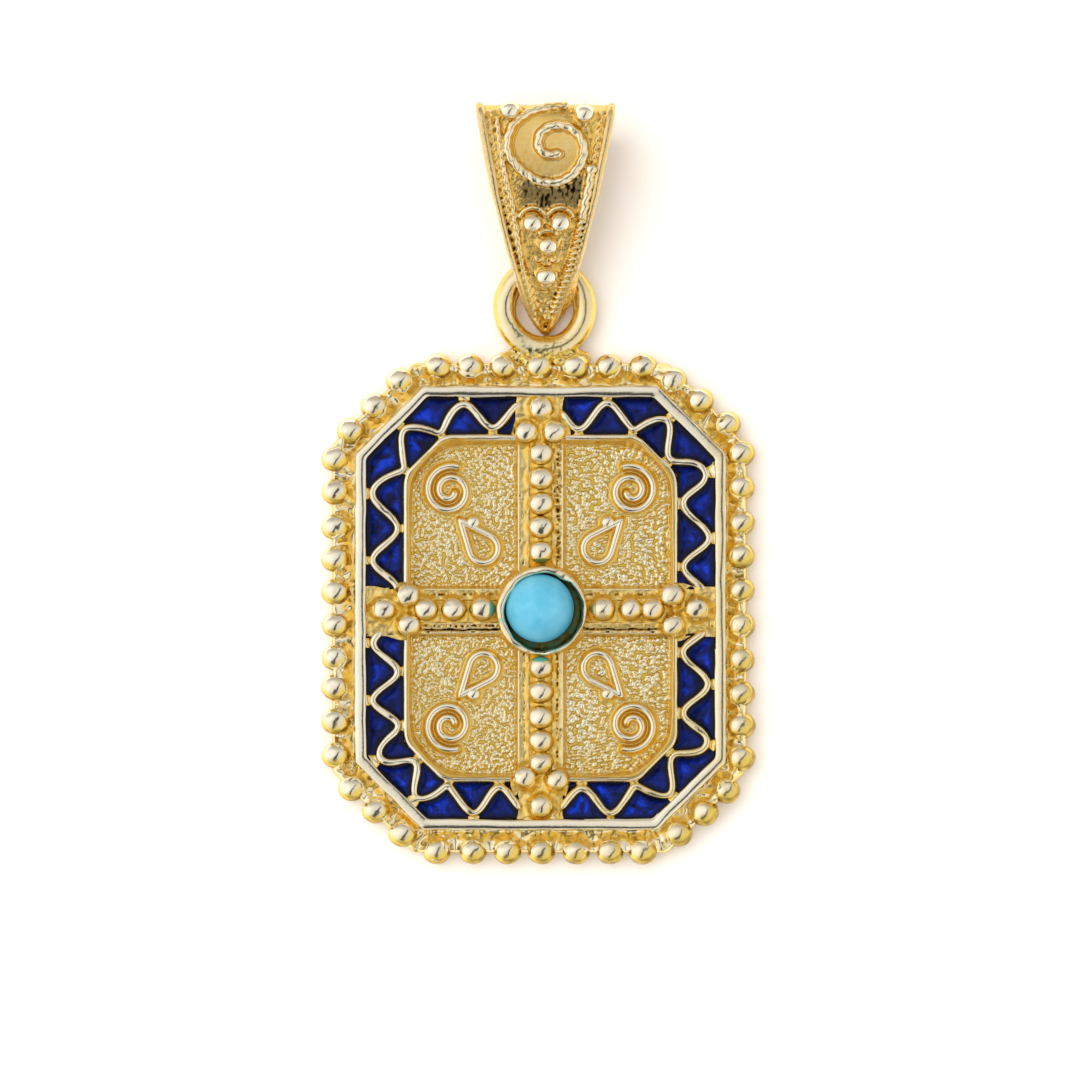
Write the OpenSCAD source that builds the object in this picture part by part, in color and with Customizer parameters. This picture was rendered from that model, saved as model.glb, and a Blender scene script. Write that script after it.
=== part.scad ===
// Gold pendant: an octagonal plate with a beaded edge, an enamel border divided by a waved wire,
// a beaded cross with a round cabochon, a soldered ring and a folded bail that hangs in the ring.
// Lengths are millimetres. The origin is the centre of the plate's flat back.
// +X is to the right, +Y towards the bail and +Z out of the decorated front.

/* [Plate] */
// Width over the outer rim
rim_w = 21.8; // [20.5:0.1:23]
// Height over the outer rim
rim_h = 26.1; // [24.5:0.1:28]
// Length that each corner is cut back along both sides
rim_cut = 4.0; // [3.4:0.1:4.6]
// Width of the flat top of the outer rim
rim_wall = 0.65; // [0.5:0.05:0.8]
// Height of the outer rim above the back
rim_top = 2.1; // [1.9:0.05:2.4]
// Thickness of the sheet under the panels and the enamel
sheet_t = 1.0; // [0.8:0.05:1.2]
// Thickness of the ledge under the edge beads
ledge_t = 1.2; // [1:0.05:1.4]

/* [Enamel border] */
// Width of the channel between the two rims
channel_w = 2.2; // [1.9:0.05:2.5]
// Width of the inner rim
inner_wall = 0.35; // [0.25:0.05:0.5]
// Height of the inner rim and the waved wire above the back
wire_top = 1.9; // [1.7:0.05:2.1]
// Width of the waved wire
wave_wire = 0.38; // [0.3:0.02:0.5]
// Distance of the wire's crests from the middle of the channel
wave_reach = 0.68; // [0.5:0.02:0.8]
// Height of the enamel's face above the back
enamel_top = 1.65; // [1.4:0.05:1.8]
// Gap between the enamel and the metal
enamel_gap = 0.05; // [0.04:0.01:0.1]

/* [Beads] */
// Radius of an edge bead
edge_bead_r = 0.78; // [0.7:0.02:0.85]
// Distance of the edge beads' centres outside the outer rim's edge
edge_bead_out = 1.12; // [1:0.02:1.3]
// Height of the edge beads' centres above the back
edge_bead_z = 1.3; // [1.2:0.05:1.45]
// Radius of a cross bead
cross_bead_r = 0.65; // [0.5:0.01:0.67]
// How far the cross beads' centres stand above the bands
cross_bead_rise = 0.15; // [0.1:0.05:0.3]

/* [Cross and stone] */
// Width of the cross's bands
band_w = 2.75; // [2.4:0.05:3]
// Height of the bands above the back
band_top = 1.6; // [1.4:0.05:1.8]
// Height of the level band's middle line on the plate
band_y = -0.2; // [-0.3:0.05:0.3]
// Radius of the round stone
stone_r = 2.0; // [1.8:0.05:2.1]
// Height of the stone's crown above the back
stone_top = 3.7; // [3.2:0.1:4]
// Outer radius of the bezel
bezel_r = 2.65; // [2.5:0.05:2.7]
// Thickness of the bezel's wall
bezel_wall = 0.3; // [0.2:0.05:0.4]
// Height of the bezel above the back
bezel_top = 2.7; // [2.4:0.05:3]

/* [Panel ornament] */
// Width of the ornament wires on the four panels
motif_wire = 0.38; // [0.3:0.02:0.5]
// Height of the ornament wires above the panels
motif_rise = 0.55; // [0.4:0.05:0.7]

/* [Ring] */
// Place of the ring's centre across the plate, which is the bail's middle line too
ring_x = 0.3; // [0:0.05:0.4]
// Place of the ring's centre up the plate
ring_y = 17.65; // [17.5:0.05:17.75]
// Radius of the ring's middle line
ring_r = 2.38; // [2.3:0.02:2.5]
// Radius of the ring's wire
ring_wire_r = 0.65; // [0.55:0.05:0.68]
// Height of the ring's middle above the back
ring_z = 1.25; // [1.2:0.05:1.4]

/* [Bail] */
// Distance of the bail's tip above the plate's centre
bail_tip_y = 16.2; // [16.1:0.05:16.4]
// Length of the bail from its tip to its fold
bail_length = 13.3; // [12.5:0.1:14]
// Thickness of the folded strip
strip_t = 0.5; // [0.4:0.05:0.55]
// Radius of the fold's middle line
fold_r = 2.85; // [2.8:0.05:3]
// Height of the bail's raised ornament
bail_relief = 0.3; // [0.2:0.05:0.4]
// Width of the bail's edge wires
bail_edge_w = 0.4; // [0.3:0.05:0.5]
// Radius of a bail grain
grain_r = 0.55; // [0.45:0.05:0.6]
// Radius of the rolled scroll on the bail
bail_scroll_r = 2.3; // [2:0.05:2.4]

/* [Hidden] */
$fn = 64;

// How far solids that are soldered together run into each other
solder = 0.1;
// How much lower the waved wire stands than the inner rim
crest_dip = 0.02;
// A length that reaches past anything it cuts
beyond = 40;
// How much a corner's cut shrinks for each millimetre that its outline moves in
cut_per_inset = 2 - sqrt(2);

// Share of a quarter of the channel, from the top or bottom middle to the side middle, at which
// each crest of the waved wire lies. The crests lie outwards and inwards by turns, the first outwards.
crests_upper_right = [0.03, 0.12, 0.21, 0.30, 0.39, 0.48, 0.58, 0.67, 0.78, 0.87, 0.97];
crests_upper_left = [0.06, 0.15, 0.24, 0.34, 0.43, 0.53, 0.64, 0.75, 0.85, 0.94];
crests_lower_left = [0.04, 0.13, 0.21, 0.30, 0.38, 0.46, 0.54, 0.63, 0.71, 0.80, 0.89, 0.98];
crests_lower_right = [0.04, 0.13, 0.22, 0.31, 0.40, 0.49, 0.58, 0.67, 0.76, 0.86, 0.95];

// Beads round the plate: the number on a side, on a corner cut, and on the top or bottom, the length
// that the rows on a side and on the top or bottom take, and the first and last centre on the upper
// right corner cut
side_beads = 10;
corner_beads = 3;
end_beads = 7;
side_bead_run = 17.5;
end_bead_run = 12.1;
corner_first = [11.3, 10.35];
corner_last = [8.3, 13.3];
// The post under an edge bead, as a share of the bead's radius
post_share = 0.86;

// Places along an arm of the cross, from the plate's middle. Columns: the first bead, the step of
// the row, the number in the row, the pair that flanks the arm, the last bead
FIRST = 0;
STEP = 1;
COUNT = 2;
PAIR = 3;
LAST = 4;
upright_arm = [3.5, 1.42, 5, 10.25, 11.7];
level_arm = [3.55, 1.6, 3, 7.8, 9.2];
pair_half_gap = 0.8;
pair_bead_share = 0.9;

// Ornament of the upper right panel: a scroll, a drop-shaped loop and a grain
scroll_at = [5.35, 6.9];
scroll_core_r = 0.32;
scroll_r = 1.5;
scroll_turns = 1.75;
drop_at = [3.35, 3.5];
drop_turn = -40;
drop_length = 3.0;
drop_r = 0.85;
panel_grain_at = [3.95, 5.05];
panel_grain_r = 0.42;

// Solder collar between the ledge and the ring: half its width at its foot and where it meets the ring
collar_half_foot = 2.5;
collar_half_neck = 1.55;
collar_rise = 0.9;
collar_t = 0.95;

// Half width of the bail at each height above its tip
bail_sections = [[0, 0.12], [0.35, 0.5], [1, 0.95], [2, 1.4], [3.5, 1.88], [5, 2.32], [8, 3.1],
                 [11, 3.72], [13.5, 4.16], [14, 4.2]];
// The bail's grains: across from its middle line, height above its tip, radius as a share of grain_r
bail_grains = [[-2.1, 13.05, 0.9], [2.25, 12.8, 0.9], [-0.72, 6.5, 1], [0.86, 6.5, 1], [0.15, 5.3, 1],
               [0.05, 3.5, 1]];

bail_scroll_up = 10.65;
bail_scroll_core_r = 0.35;
bail_scroll_turns = 1.6;
// The bail's tip is solid over this length
bail_nose = 1.1;
fold_y = bail_tip_y + bail_length - fold_r - strip_t / 2;
fold_z = fold_r + strip_t / 2;
// Angle round the fold, from +Y, at which the fold passes into the long front curve
front_start = 95;
fold_start = -90;
relief_start = -20;
profile_step = 5;
front_steps = 18;

// Eight corners of a rectangle with its corners cut, moved in by inset
function octagon_points(inset) =
    let (x = rim_w / 2 - inset, y = rim_h / 2 - inset, c = rim_cut - inset * cut_per_inset)
    [[x, y - c], [x - c, y], [c - x, y], [-x, y - c], [-x, c - y], [c - x, -y], [x - c, -y], [x, c - y]];

function direction(a, b) = (b - a) / norm(b - a);
function left_of(d) = [-d.y, d.x];

// Corners of a quarter of the channel's middle line, from the top middle to the right middle
channel_corners =
    let (p = octagon_points(rim_wall + channel_w / 2))
    [[0, p[1].y], p[1], p[0], [p[0].x, 0]];
quarter_lengths = [for (i = [0:2]) norm(channel_corners[i + 1] - channel_corners[i])];
quarter_length = quarter_lengths[0] + quarter_lengths[1] + quarter_lengths[2];

// Point at a distance along the quarter, which goes on straight past both of its ends
function quarter_point(s, i = 0) =
    (i == 2 || s <= quarter_lengths[i])
        ? channel_corners[i] + s * direction(channel_corners[i], channel_corners[i + 1])
        : quarter_point(s - quarter_lengths[i], i + 1);

// The same with its corners eased, and its outward direction
corner_ease = 1.0;
function eased_point(s) =
    (quarter_point(s - corner_ease) + quarter_point(s) + quarter_point(s + corner_ease)) / 3;
function eased_outward(s) =
    left_of(direction(quarter_point(s - corner_ease), quarter_point(s + corner_ease)));

wave_steps = 6;
function wave_points(crests) = [
    for (i = [0:len(crests) - 2], k = [0:i == len(crests) - 2 ? wave_steps : wave_steps - 1])
        let (t = k / wave_steps,
             s = (crests[i] + (crests[i + 1] - crests[i]) * t) * quarter_length,
             side = i % 2 == 0 ? 1 : -1)
        eased_point(s) + side * wave_reach * cos(180 * t) * eased_outward(s)
];

// Outline of a wire of width w laid along points
function run_direction(p, i) = direction(p[max(i - 1, 0)], p[min(i + 1, len(p) - 1)]);
function ribbon(p, w) = concat(
    [for (i = [0:len(p) - 1]) p[i] + left_of(run_direction(p, i)) * w / 2],
    [for (i = [len(p) - 1:-1:0]) p[i] - left_of(run_direction(p, i)) * w / 2]);

// Points along a flat spiral that opens from its centre
function spiral_points(r_in, r_out, turns, start, steps = 14) = [
    for (i = [0:round(turns * steps)])
        let (t = i / round(turns * steps), a = start + 360 * turns * t, r = r_in + (r_out - r_in) * t)
        [r * cos(a), r * sin(a)]
];

// Outline of a drop: round at one end and pointed at the other, grown by out
function drop_points(length, r, out) =
    let (reach = length - r, a = acos(r / reach), point = reach + out / sin(90 - a))
    concat([[0, point]],
           [for (i = [0:24]) let (b = 90 + a + (360 - 2 * a) * i / 24) (r + out) * [cos(b), sin(b)]]);

module octagon(inset = 0) {
    polygon(octagon_points(inset));
}

module octagon_ring(outer_inset, width) {
    difference() {
        octagon(outer_inset);
        octagon(outer_inset + width);
    }
}

// A flat shape that stands on the sheet and rises to top
module on_sheet(top) {
    translate([0, 0, sheet_t - solder]) linear_extrude(top - sheet_t + solder) children();
}

module bead(x, y, z, r) {
    translate([x, y, z]) sphere(r);
}

// The sheet, the ledge and the outer rim, with a shallow tray inside the rim
module tray() {
    difference() {
        union() {
            linear_extrude(ledge_t) octagon(-edge_bead_out - 0.1);
            linear_extrude(rim_top) octagon();
        }
        translate([0, 0, sheet_t]) linear_extrude(beyond) octagon(rim_wall);
    }
}

// A bead and the post under it, which swells the ledge into a scallop
module edge_bead(x, y) {
    bead(x, y, edge_bead_z, edge_bead_r);
    translate([x, y, 0]) cylinder(h = edge_bead_z, r = edge_bead_r * post_share);
}

module edge_beads() {
    x = rim_w / 2 + edge_bead_out;
    y = rim_h / 2 + edge_bead_out;
    for (side = [-1, 1]) {
        for (i = [0:side_beads - 1])
            edge_bead(side * x, side_bead_run * (i / (side_beads - 1) - 0.5));
        for (i = [0:end_beads - 1])
            edge_bead(end_bead_run * (i / (end_beads - 1) - 0.5), side * y);
        for (end = [-1, 1], i = [0:corner_beads - 1]) {
            at = corner_first + (corner_last - corner_first) * i / (corner_beads - 1);
            edge_bead(side * at.x, end * at.y);
        }
    }
}

module cross_bands() {
    on_sheet(band_top) {
        square([band_w, rim_h - rim_wall], center = true);
        translate([0, band_y]) square([rim_w - rim_wall, band_w], center = true);
    }
}

// Beads of one arm, which runs along +X
module arm_beads(arm) {
    z = band_top + cross_bead_rise;
    for (i = [0:arm[COUNT] - 1]) bead(arm[FIRST] + arm[STEP] * i, 0, z, cross_bead_r);
    for (side = [-1, 1]) bead(arm[PAIR], side * pair_half_gap, z, cross_bead_r * pair_bead_share);
    bead(arm[LAST], 0, z, cross_bead_r);
}

module cross_beads() {
    for (turn = [90, 270]) rotate([0, 0, turn]) arm_beads(upright_arm);
    for (turn = [0, 180]) translate([0, band_y / 2, 0]) rotate([0, 0, turn]) arm_beads(level_arm);
}

module bezel() {
    translate([0, 0, sheet_t - solder]) difference() {
        cylinder(h = bezel_top - sheet_t + solder, r = bezel_r);
        translate([0, 0, band_top - sheet_t + solder]) cylinder(h = beyond, r = bezel_r - bezel_wall);
    }
}

// Puts a drawing of the upper right quarter in the quarter named by its two signs
module in_quarter(x_sign, y_sign) {
    mirror([x_sign < 0 ? 1 : 0, 0, 0]) mirror([0, y_sign < 0 ? 1 : 0, 0]) children();
}

module wave_wire_flat(crests, w) {
    polygon(ribbon(wave_points(crests), w));
}

// A rolled scroll and a drop-shaped loop, both of flattened wire
module panel_motif() {
    translate(scroll_at)
        polygon(ribbon(spiral_points(scroll_core_r, scroll_r, scroll_turns, 200), motif_wire));
    translate(drop_at) rotate([0, 0, drop_turn]) difference() {
        polygon(drop_points(drop_length, drop_r, motif_wire / 2));
        polygon(drop_points(drop_length, drop_r, -motif_wire / 2));
    }
}

module border_and_panels() {
    on_sheet(wire_top) octagon_ring(rim_wall + channel_w, inner_wall);
    on_sheet(wire_top - crest_dip) {
        in_quarter(1, 1) wave_wire_flat(crests_upper_right, wave_wire);
        in_quarter(-1, 1) wave_wire_flat(crests_upper_left, wave_wire);
        in_quarter(-1, -1) wave_wire_flat(crests_lower_left, wave_wire);
        in_quarter(1, -1) wave_wire_flat(crests_lower_right, wave_wire);
    }
    on_sheet(sheet_t + motif_rise)
        for (x_sign = [-1, 1], y_sign = [-1, 1]) in_quarter(x_sign, y_sign) panel_motif();
    for (x_sign = [-1, 1], y_sign = [-1, 1]) in_quarter(x_sign, y_sign)
        bead(panel_grain_at.x, panel_grain_at.y, sheet_t + panel_grain_r / 2, panel_grain_r);
}

// The ring and the solder collar that joins it to the top of the ledge
module ring() {
    foot_y = rim_h / 2 + edge_bead_out + solder + 0.3;
    translate([ring_x, ring_y, ring_z]) rotate_extrude() translate([ring_r, 0]) circle(ring_wire_r);
    translate([ring_x, foot_y, ring_z - 0.5]) linear_extrude(collar_t)
        polygon([[-collar_half_foot, -edge_bead_r], [collar_half_foot, -edge_bead_r], [collar_half_foot, 0],
                 [collar_half_neck, collar_rise], [-collar_half_neck, collar_rise], [-collar_half_foot, 0]]);
}

module plate() {
    color("gold") {
        tray();
        edge_beads();
        border_and_panels();
        cross_bands();
        cross_beads();
        bezel();
        ring();
    }
}

// Enamel of one quarter: the channel between the rims, clear of the bands and of the waved wire
module enamel(x_sign, y_sign, crests) {
    half_band = band_w / 2 + enamel_gap;
    color("mediumblue")
    translate([0, 0, sheet_t]) linear_extrude(enamel_top - sheet_t) difference() {
        octagon_ring(rim_wall + enamel_gap, channel_w - 2 * enamel_gap);
        in_quarter(x_sign, y_sign) {
            translate([-beyond, -beyond]) square([beyond + half_band, 2 * beyond]);
            translate([-beyond, -beyond]) square([2 * beyond, beyond + half_band + y_sign * band_y]);
            wave_wire_flat(crests, wave_wire + 2 * enamel_gap);
        }
    }
}

// A round stone with a flat foot, a short upright girdle and a domed crown
module cabochon() {
    foot = band_top + enamel_gap;
    girdle = foot + 0.7;
    dome = stone_top - girdle;
    dome_r = (stone_r * stone_r + dome * dome) / (2 * dome);
    half_angle = asin(stone_r / dome_r);
    color("turquoise") rotate_extrude() polygon(concat(
        [[0, foot], [stone_r - 0.1, foot], [stone_r, foot + 0.1]],
        [for (i = [0:20])
            let (a = half_angle * (1 - i / 20))
            [dome_r * sin(a), stone_top - dome_r * (1 - cos(a))]]));
}

// The bail's side profile, in a plane of Y across and Z up: points of its middle line moved out by out,
// flat along the back, round the fold and down the long front curve to the tip
front_u = [cos(front_start), sin(front_start)];
tip_from_fold = [bail_tip_y - fold_y, strip_t / 2 - fold_z];
front_r = (tip_from_fold * tip_from_fold + fold_r * fold_r - 2 * fold_r * (tip_from_fold * front_u))
          / (2 * (fold_r - tip_from_fold * front_u));
front_centre = [fold_y, fold_z] - (front_r - fold_r) * front_u;
front_end = 180 - asin((strip_t / 2 - front_centre.y) / front_r);

function fold_points(out, from = fold_start) = [
    for (a = [from:profile_step:front_start - profile_step])
        [fold_y, fold_z] + (fold_r + out) * [cos(a), sin(a)]
];
function front_points(out) = [
    for (i = [0:front_steps])
        let (a = front_start + (front_end - front_start) * i / front_steps)
        front_centre + (front_r + out) * [cos(a), sin(a)]
];
// Height of the bail's outer face above the back, over the long front curve and over the fold
function front_face_z(y) =
    let (fold_begins = fold_y + (fold_r + strip_t / 2) * cos(front_start))
    y < fold_begins
        ? front_centre.y + sqrt(pow(front_r + strip_t / 2, 2) - pow(y - front_centre.x, 2))
        : fold_z + sqrt(pow(fold_r + strip_t / 2, 2) - pow(y - fold_y, 2));

// A side profile drawn in Y and Z becomes a solid as wide as the bail
module across_bail() {
    translate([ring_x - beyond / 2, 0, 0]) rotate([90, 0, 90]) linear_extrude(beyond) children();
}

module bail_outline(inset = 0) {
    translate([ring_x, bail_tip_y])
        polygon(concat(
            [for (s = bail_sections) [max(s[1] - inset, 0.02), s[0] + inset]],
            [for (i = [len(bail_sections) - 1:-1:0])
                [-max(bail_sections[i][1] - inset, 0.02), bail_sections[i][0] + inset]]));
}

function reverse(list) = [for (i = [len(list) - 1:-1:0]) list[i]];

// Ornament that stands on the front of the bail, cut from a skin over the front and the fold
module on_front() {
    skin = strip_t / 2 + bail_relief;
    intersection() {
        across_bail() polygon(concat(
            fold_points(skin, relief_start), front_points(skin),
            reverse(front_points(0)), reverse(fold_points(0, relief_start))));
        translate([0, 0, -1]) linear_extrude(beyond) children();
    }
}

module bail() {
    color("goldenrod") {
        difference() {
            intersection() {
                across_bail() polygon(concat(
                    [[bail_tip_y, 0]], fold_points(strip_t / 2), front_points(strip_t / 2)));
                translate([0, 0, -1]) linear_extrude(beyond) bail_outline();
            }
            across_bail() polygon(concat(
                [[bail_tip_y + bail_nose, strip_t]], fold_points(-strip_t / 2),
                [for (p = front_points(-strip_t / 2)) if (p.x > bail_tip_y + bail_nose) p]));
        }
        on_front() difference() {
            bail_outline();
            bail_outline(bail_edge_w);
        }
        on_front() translate([ring_x, bail_tip_y + bail_scroll_up])
            polygon(ribbon(spiral_points(bail_scroll_core_r, bail_scroll_r, bail_scroll_turns, 250),
                           motif_wire));
        for (g = bail_grains)
            bead(ring_x + g[0], bail_tip_y + g[1], front_face_z(bail_tip_y + g[1]), grain_r * g[2]);
    }
}

plate();
enamel(1, 1, crests_upper_right);  // enamel_upper_right
enamel(-1, 1, crests_upper_left);  // enamel_upper_left
enamel(-1, -1, crests_lower_left);  // enamel_lower_left
enamel(1, -1, crests_lower_right);  // enamel_lower_right
cabochon();
bail();
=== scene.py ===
"""Gold pendant seen from straight above: a beaded octagonal plate with an enamel border, a cross of
granules round a turquoise cabochon, four sanded panels with wire ornament, a soldered ring and a
folded bail. Shapes are worked out in millimetres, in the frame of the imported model, and become
metres when a mesh is made."""
import math

import bmesh
import bpy
import numpy as np
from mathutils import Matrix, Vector


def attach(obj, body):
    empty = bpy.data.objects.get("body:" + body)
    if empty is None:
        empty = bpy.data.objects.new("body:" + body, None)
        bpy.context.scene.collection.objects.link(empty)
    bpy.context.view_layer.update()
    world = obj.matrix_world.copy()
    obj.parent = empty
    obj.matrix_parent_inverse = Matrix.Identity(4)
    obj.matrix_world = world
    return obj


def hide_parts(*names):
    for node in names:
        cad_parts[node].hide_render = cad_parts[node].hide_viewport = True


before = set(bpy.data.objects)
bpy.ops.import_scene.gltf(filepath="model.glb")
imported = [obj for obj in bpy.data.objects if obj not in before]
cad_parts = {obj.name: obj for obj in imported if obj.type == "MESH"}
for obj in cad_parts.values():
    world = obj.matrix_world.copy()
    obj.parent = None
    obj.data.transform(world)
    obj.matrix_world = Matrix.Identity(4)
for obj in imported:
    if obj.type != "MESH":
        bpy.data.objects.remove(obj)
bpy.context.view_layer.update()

MM = 0.001

# Sizes as in the part's source. The crests of the waved wire lie at least wave_reach off the middle of the
# channel, and it starts to turn corner_ease away from a corner
rim_w, rim_h, rim_cut = 21.8, 26.1, 4.0
rim_wall, rim_top = 0.65, 2.1
sheet_t, ledge_t = 1.0, 1.2
channel_w, inner_wall = 2.2, 0.35
wave_wire, wave_reach, corner_ease = 0.38, 0.68, 1.0
enamel_top = 1.65
edge_bead_r, edge_bead_z = 0.78, 1.3
cross_bead_r, cross_bead_z = 0.65, 1.75
band_w, band_top, band_y = 2.75, 1.6, -0.2
stone_r, stone_top = 2.0, 3.7
ring_x, ring_y, ring_r, ring_wire_r, ring_z = 0.3, 17.65, 2.38, 0.65, 1.25
cut_per_inset = 2 - math.sqrt(2)
# How far the raised lips of a band lie from its middle
lip_at = 1.28

# Share of a quarter of the channel at which each crest of the waved wire lies, the first outwards
wave_crests = {
    (1, 1): [0.03, 0.12, 0.21, 0.30, 0.39, 0.48, 0.58, 0.67, 0.78, 0.87, 0.97],
    (-1, 1): [0.06, 0.15, 0.24, 0.34, 0.43, 0.53, 0.64, 0.75, 0.85, 0.94],
    (-1, -1): [0.04, 0.13, 0.21, 0.30, 0.38, 0.46, 0.54, 0.63, 0.71, 0.80, 0.89, 0.98],
    (1, -1): [0.04, 0.13, 0.22, 0.31, 0.40, 0.49, 0.58, 0.67, 0.76, 0.86, 0.95],
}
quarter_names = {(1, 1): "upper_right", (-1, 1): "upper_left", (-1, -1): "lower_left",
                 (1, -1): "lower_right"}

# Centres of the beads soldered round the edge: left, right, top, bottom and the cut corners
edge_beads = (
    [(-12.06, y) for y in (8.79, 6.82, 4.76, 2.88, 0.94, -1.0, -2.92, -4.68, -6.65, -8.68)]
    + [(11.8, y) for y in (9.1, 7.1, 5.0, 3.06, 1.06, -1.0, -3.06, -5.04, -6.92, -8.82)]
    + [(x, 14.2) for x in (-6.03, -4.15, -2.2, -0.09, 2.03, 4.03, 6.03)]
    + [(x, -14.33) for x in (-6.09, -3.97, -1.94, 0.06, 2.09, 4.09, 6.0)]
    + [(-11.15, 10.41), (-9.74, 11.85), (-8.26, 13.35), (7.79, 13.35), (9.38, 12.18), (10.97, 10.82)]
    + [(-11.09, -10.62), (-9.68, -11.94), (-8.09, -13.29), (10.97, -10.76), (9.65, -12.06), (8.12, -13.29)]
)

# Granules of the cross: along the upright, the pairs that flank it, then the level arms
cross_beads = (
    [(0.03, y) for y in (11.75, 9.1, 7.62, 6.15, 4.76, 3.3, -3.5, -4.94, -6.41, -7.82, -9.12, -11.65)]
    + [(-0.83, 10.35), (0.8, 10.35), (-0.91, -9.95), (1.0, -10.1)]
    + [(x, -0.06) for x in (-9.2, -6.74, -5.12, -3.44, 3.68, 5.32, 6.56, 9.18)]
    + [(-7.8, 0.76), (-7.74, -1.0), (7.74, 0.76), (7.77, -1.06)]
)


def fade(x, low, high):
    """0 below low, 1 above high and smooth between."""
    t = np.clip((x - low) / (high - low), 0.0, 1.0)
    return t * t * (3 - 2 * t)


def soft_max(a, b, k):
    """The larger of a and b, with a fillet of about k where they meet."""
    return 0.5 * (a + b + np.sqrt((a - b) ** 2 + k * k))


def uneven(points, size, seed, octaves=2):
    """Smooth random height from about -1 to 1 over points in the plane, its lumps about size across."""
    table = np.random.default_rng(seed).uniform(-1, 1, (64, 64))
    points = np.asarray(points, float)
    total, share = np.zeros(len(points)), 1.0
    for octave in range(octaves):
        p = points / size * 2 ** octave + 31.7 * octave + 1000.0
        cell = np.floor(p).astype(int)
        t = p - cell
        t = t * t * (3 - 2 * t)
        (i, j), (a, b) = (cell % 64).T, t.T
        i2, j2 = (i + 1) % 64, (j + 1) % 64
        total += share * ((table[i, j] * (1 - a) + table[i2, j] * a) * (1 - b)
                          + (table[i, j2] * (1 - a) + table[i2, j2] * a) * b)
        share *= 0.5
    return total


def pebbles(points, size, seed, jitter):
    """Punch marks: 1 at the middle of each pebble between the marks and 0 or less at its edge."""
    table = np.random.default_rng(seed).uniform(-0.5, 0.5, (64, 64, 2)) * jitter
    p = np.asarray(points, float) / size + 1000.0
    cell = np.floor(p).astype(int)
    nearest = np.full(len(p), 9.0)
    for i in (-1, 0, 1):
        for j in (-1, 0, 1):
            c = cell + (i, j)
            d = p - c - 0.5 - table[c[:, 0] % 64, c[:, 1] % 64]
            nearest = np.minimum(nearest, (d ** 2).sum(1))
    return 1 - 2.6 * nearest


def linear(colour):
    """An sRGB hex colour as linear RGBA."""
    parts = [int(colour[i:i + 2], 16) / 255 for i in (1, 3, 5)]
    return [c / 12.92 if c <= 0.04045 else ((c + 0.055) / 1.055) ** 2.4 for c in parts] + [1.0]


# Meshes

def at_height(xy, z):
    """Points in space from points in the plane and their height."""
    return np.column_stack([xy, np.broadcast_to(z, len(xy))])


def set_attribute(piece, key, values):
    found = piece.data.attributes.get(key) or piece.data.attributes.new(key, "FLOAT", "POINT")
    found.data.foreach_set("value", np.asarray(values, np.float32))


def make_piece(name, points, faces=(), material=None, edges=(), **attributes):
    """A mesh piece from points in millimetres, with float attributes on its points."""
    mesh = bpy.data.meshes.new(name)
    mesh.from_pydata((np.asarray(points, float) * MM).tolist(), list(edges), [tuple(f) for f in faces])
    mesh.validate()
    if len(faces):
        mesh.shade_smooth()
    if material:
        mesh.materials.append(material)
    piece = bpy.data.objects.new(name, mesh)
    bpy.context.scene.collection.objects.link(piece)
    for key, values in attributes.items():
        set_attribute(piece, key, values)
    return piece


def grid_faces(rows, cols, closed_rows=False, closed_cols=False, flip=False):
    """Quads between rows of points. Rows may join up with the first, and so may columns."""
    r = np.arange(rows if closed_rows else rows - 1)
    c = np.arange(cols if closed_cols else cols - 1)
    a, b = np.meshgrid(r, c, indexing="ij")
    a2, b2 = (a + 1) % rows, (b + 1) % cols
    quads = np.stack([a * cols + b, a * cols + b2, a2 * cols + b2, a2 * cols + b], -1).reshape(-1, 4)
    return (quads[:, ::-1] if flip else quads).tolist()


def as_plain_mesh(piece):
    """Applies what a piece's modifiers make of it."""
    evaluated = piece.evaluated_get(bpy.context.evaluated_depsgraph_get())
    mesh = bpy.data.meshes.new_from_object(evaluated)
    old = piece.data
    piece.modifiers.clear()
    piece.data = mesh
    bpy.data.meshes.remove(old)
    mesh.name = piece.name
    return piece


def finish_with(piece, tree, **inputs):
    """Runs a Geometry Nodes tree on a piece and leaves the result as a plain mesh."""
    modifier = piece.modifiers.new(tree.name, "NODES")
    modifier.node_group = tree
    for item in tree.interface.items_tree:
        if item.in_out == "INPUT" and item.name in inputs:
            modifier[item.identifier] = inputs[item.name]
    return as_plain_mesh(piece)


def joined(name, parts):
    """Several pieces as one."""
    with bpy.context.temp_override(active_object=parts[0], object=parts[0], selected_objects=parts,
                                   selected_editable_objects=parts):
        bpy.ops.object.join()
    parts[0].name = name
    parts[0].data.name = name
    return parts[0]


def fused(piece, voxel, passes, material):
    """Runs the solder: parts that meet are melted into one skin with soft fillets."""
    remesh = piece.modifiers.new("solder", "REMESH")
    remesh.mode = "VOXEL"
    remesh.voxel_size = voxel * MM
    remesh.use_smooth_shade = True
    relax = piece.modifiers.new("flow", "SMOOTH")
    relax.factor = 0.5
    relax.iterations = passes
    as_plain_mesh(piece)
    piece.data.materials.clear()
    piece.data.materials.append(material)
    piece.data.shade_smooth()
    return piece


def vertex_array(piece, key):
    """One row for each vertex: its place in metres for co, or its normal."""
    values = np.empty(len(piece.data.vertices) * 3)
    piece.data.vertices.foreach_get(key, values)
    return values.reshape(-1, 3)


def point_array(piece):
    """A piece's points in millimetres."""
    return vertex_array(piece, "co") / MM


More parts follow.
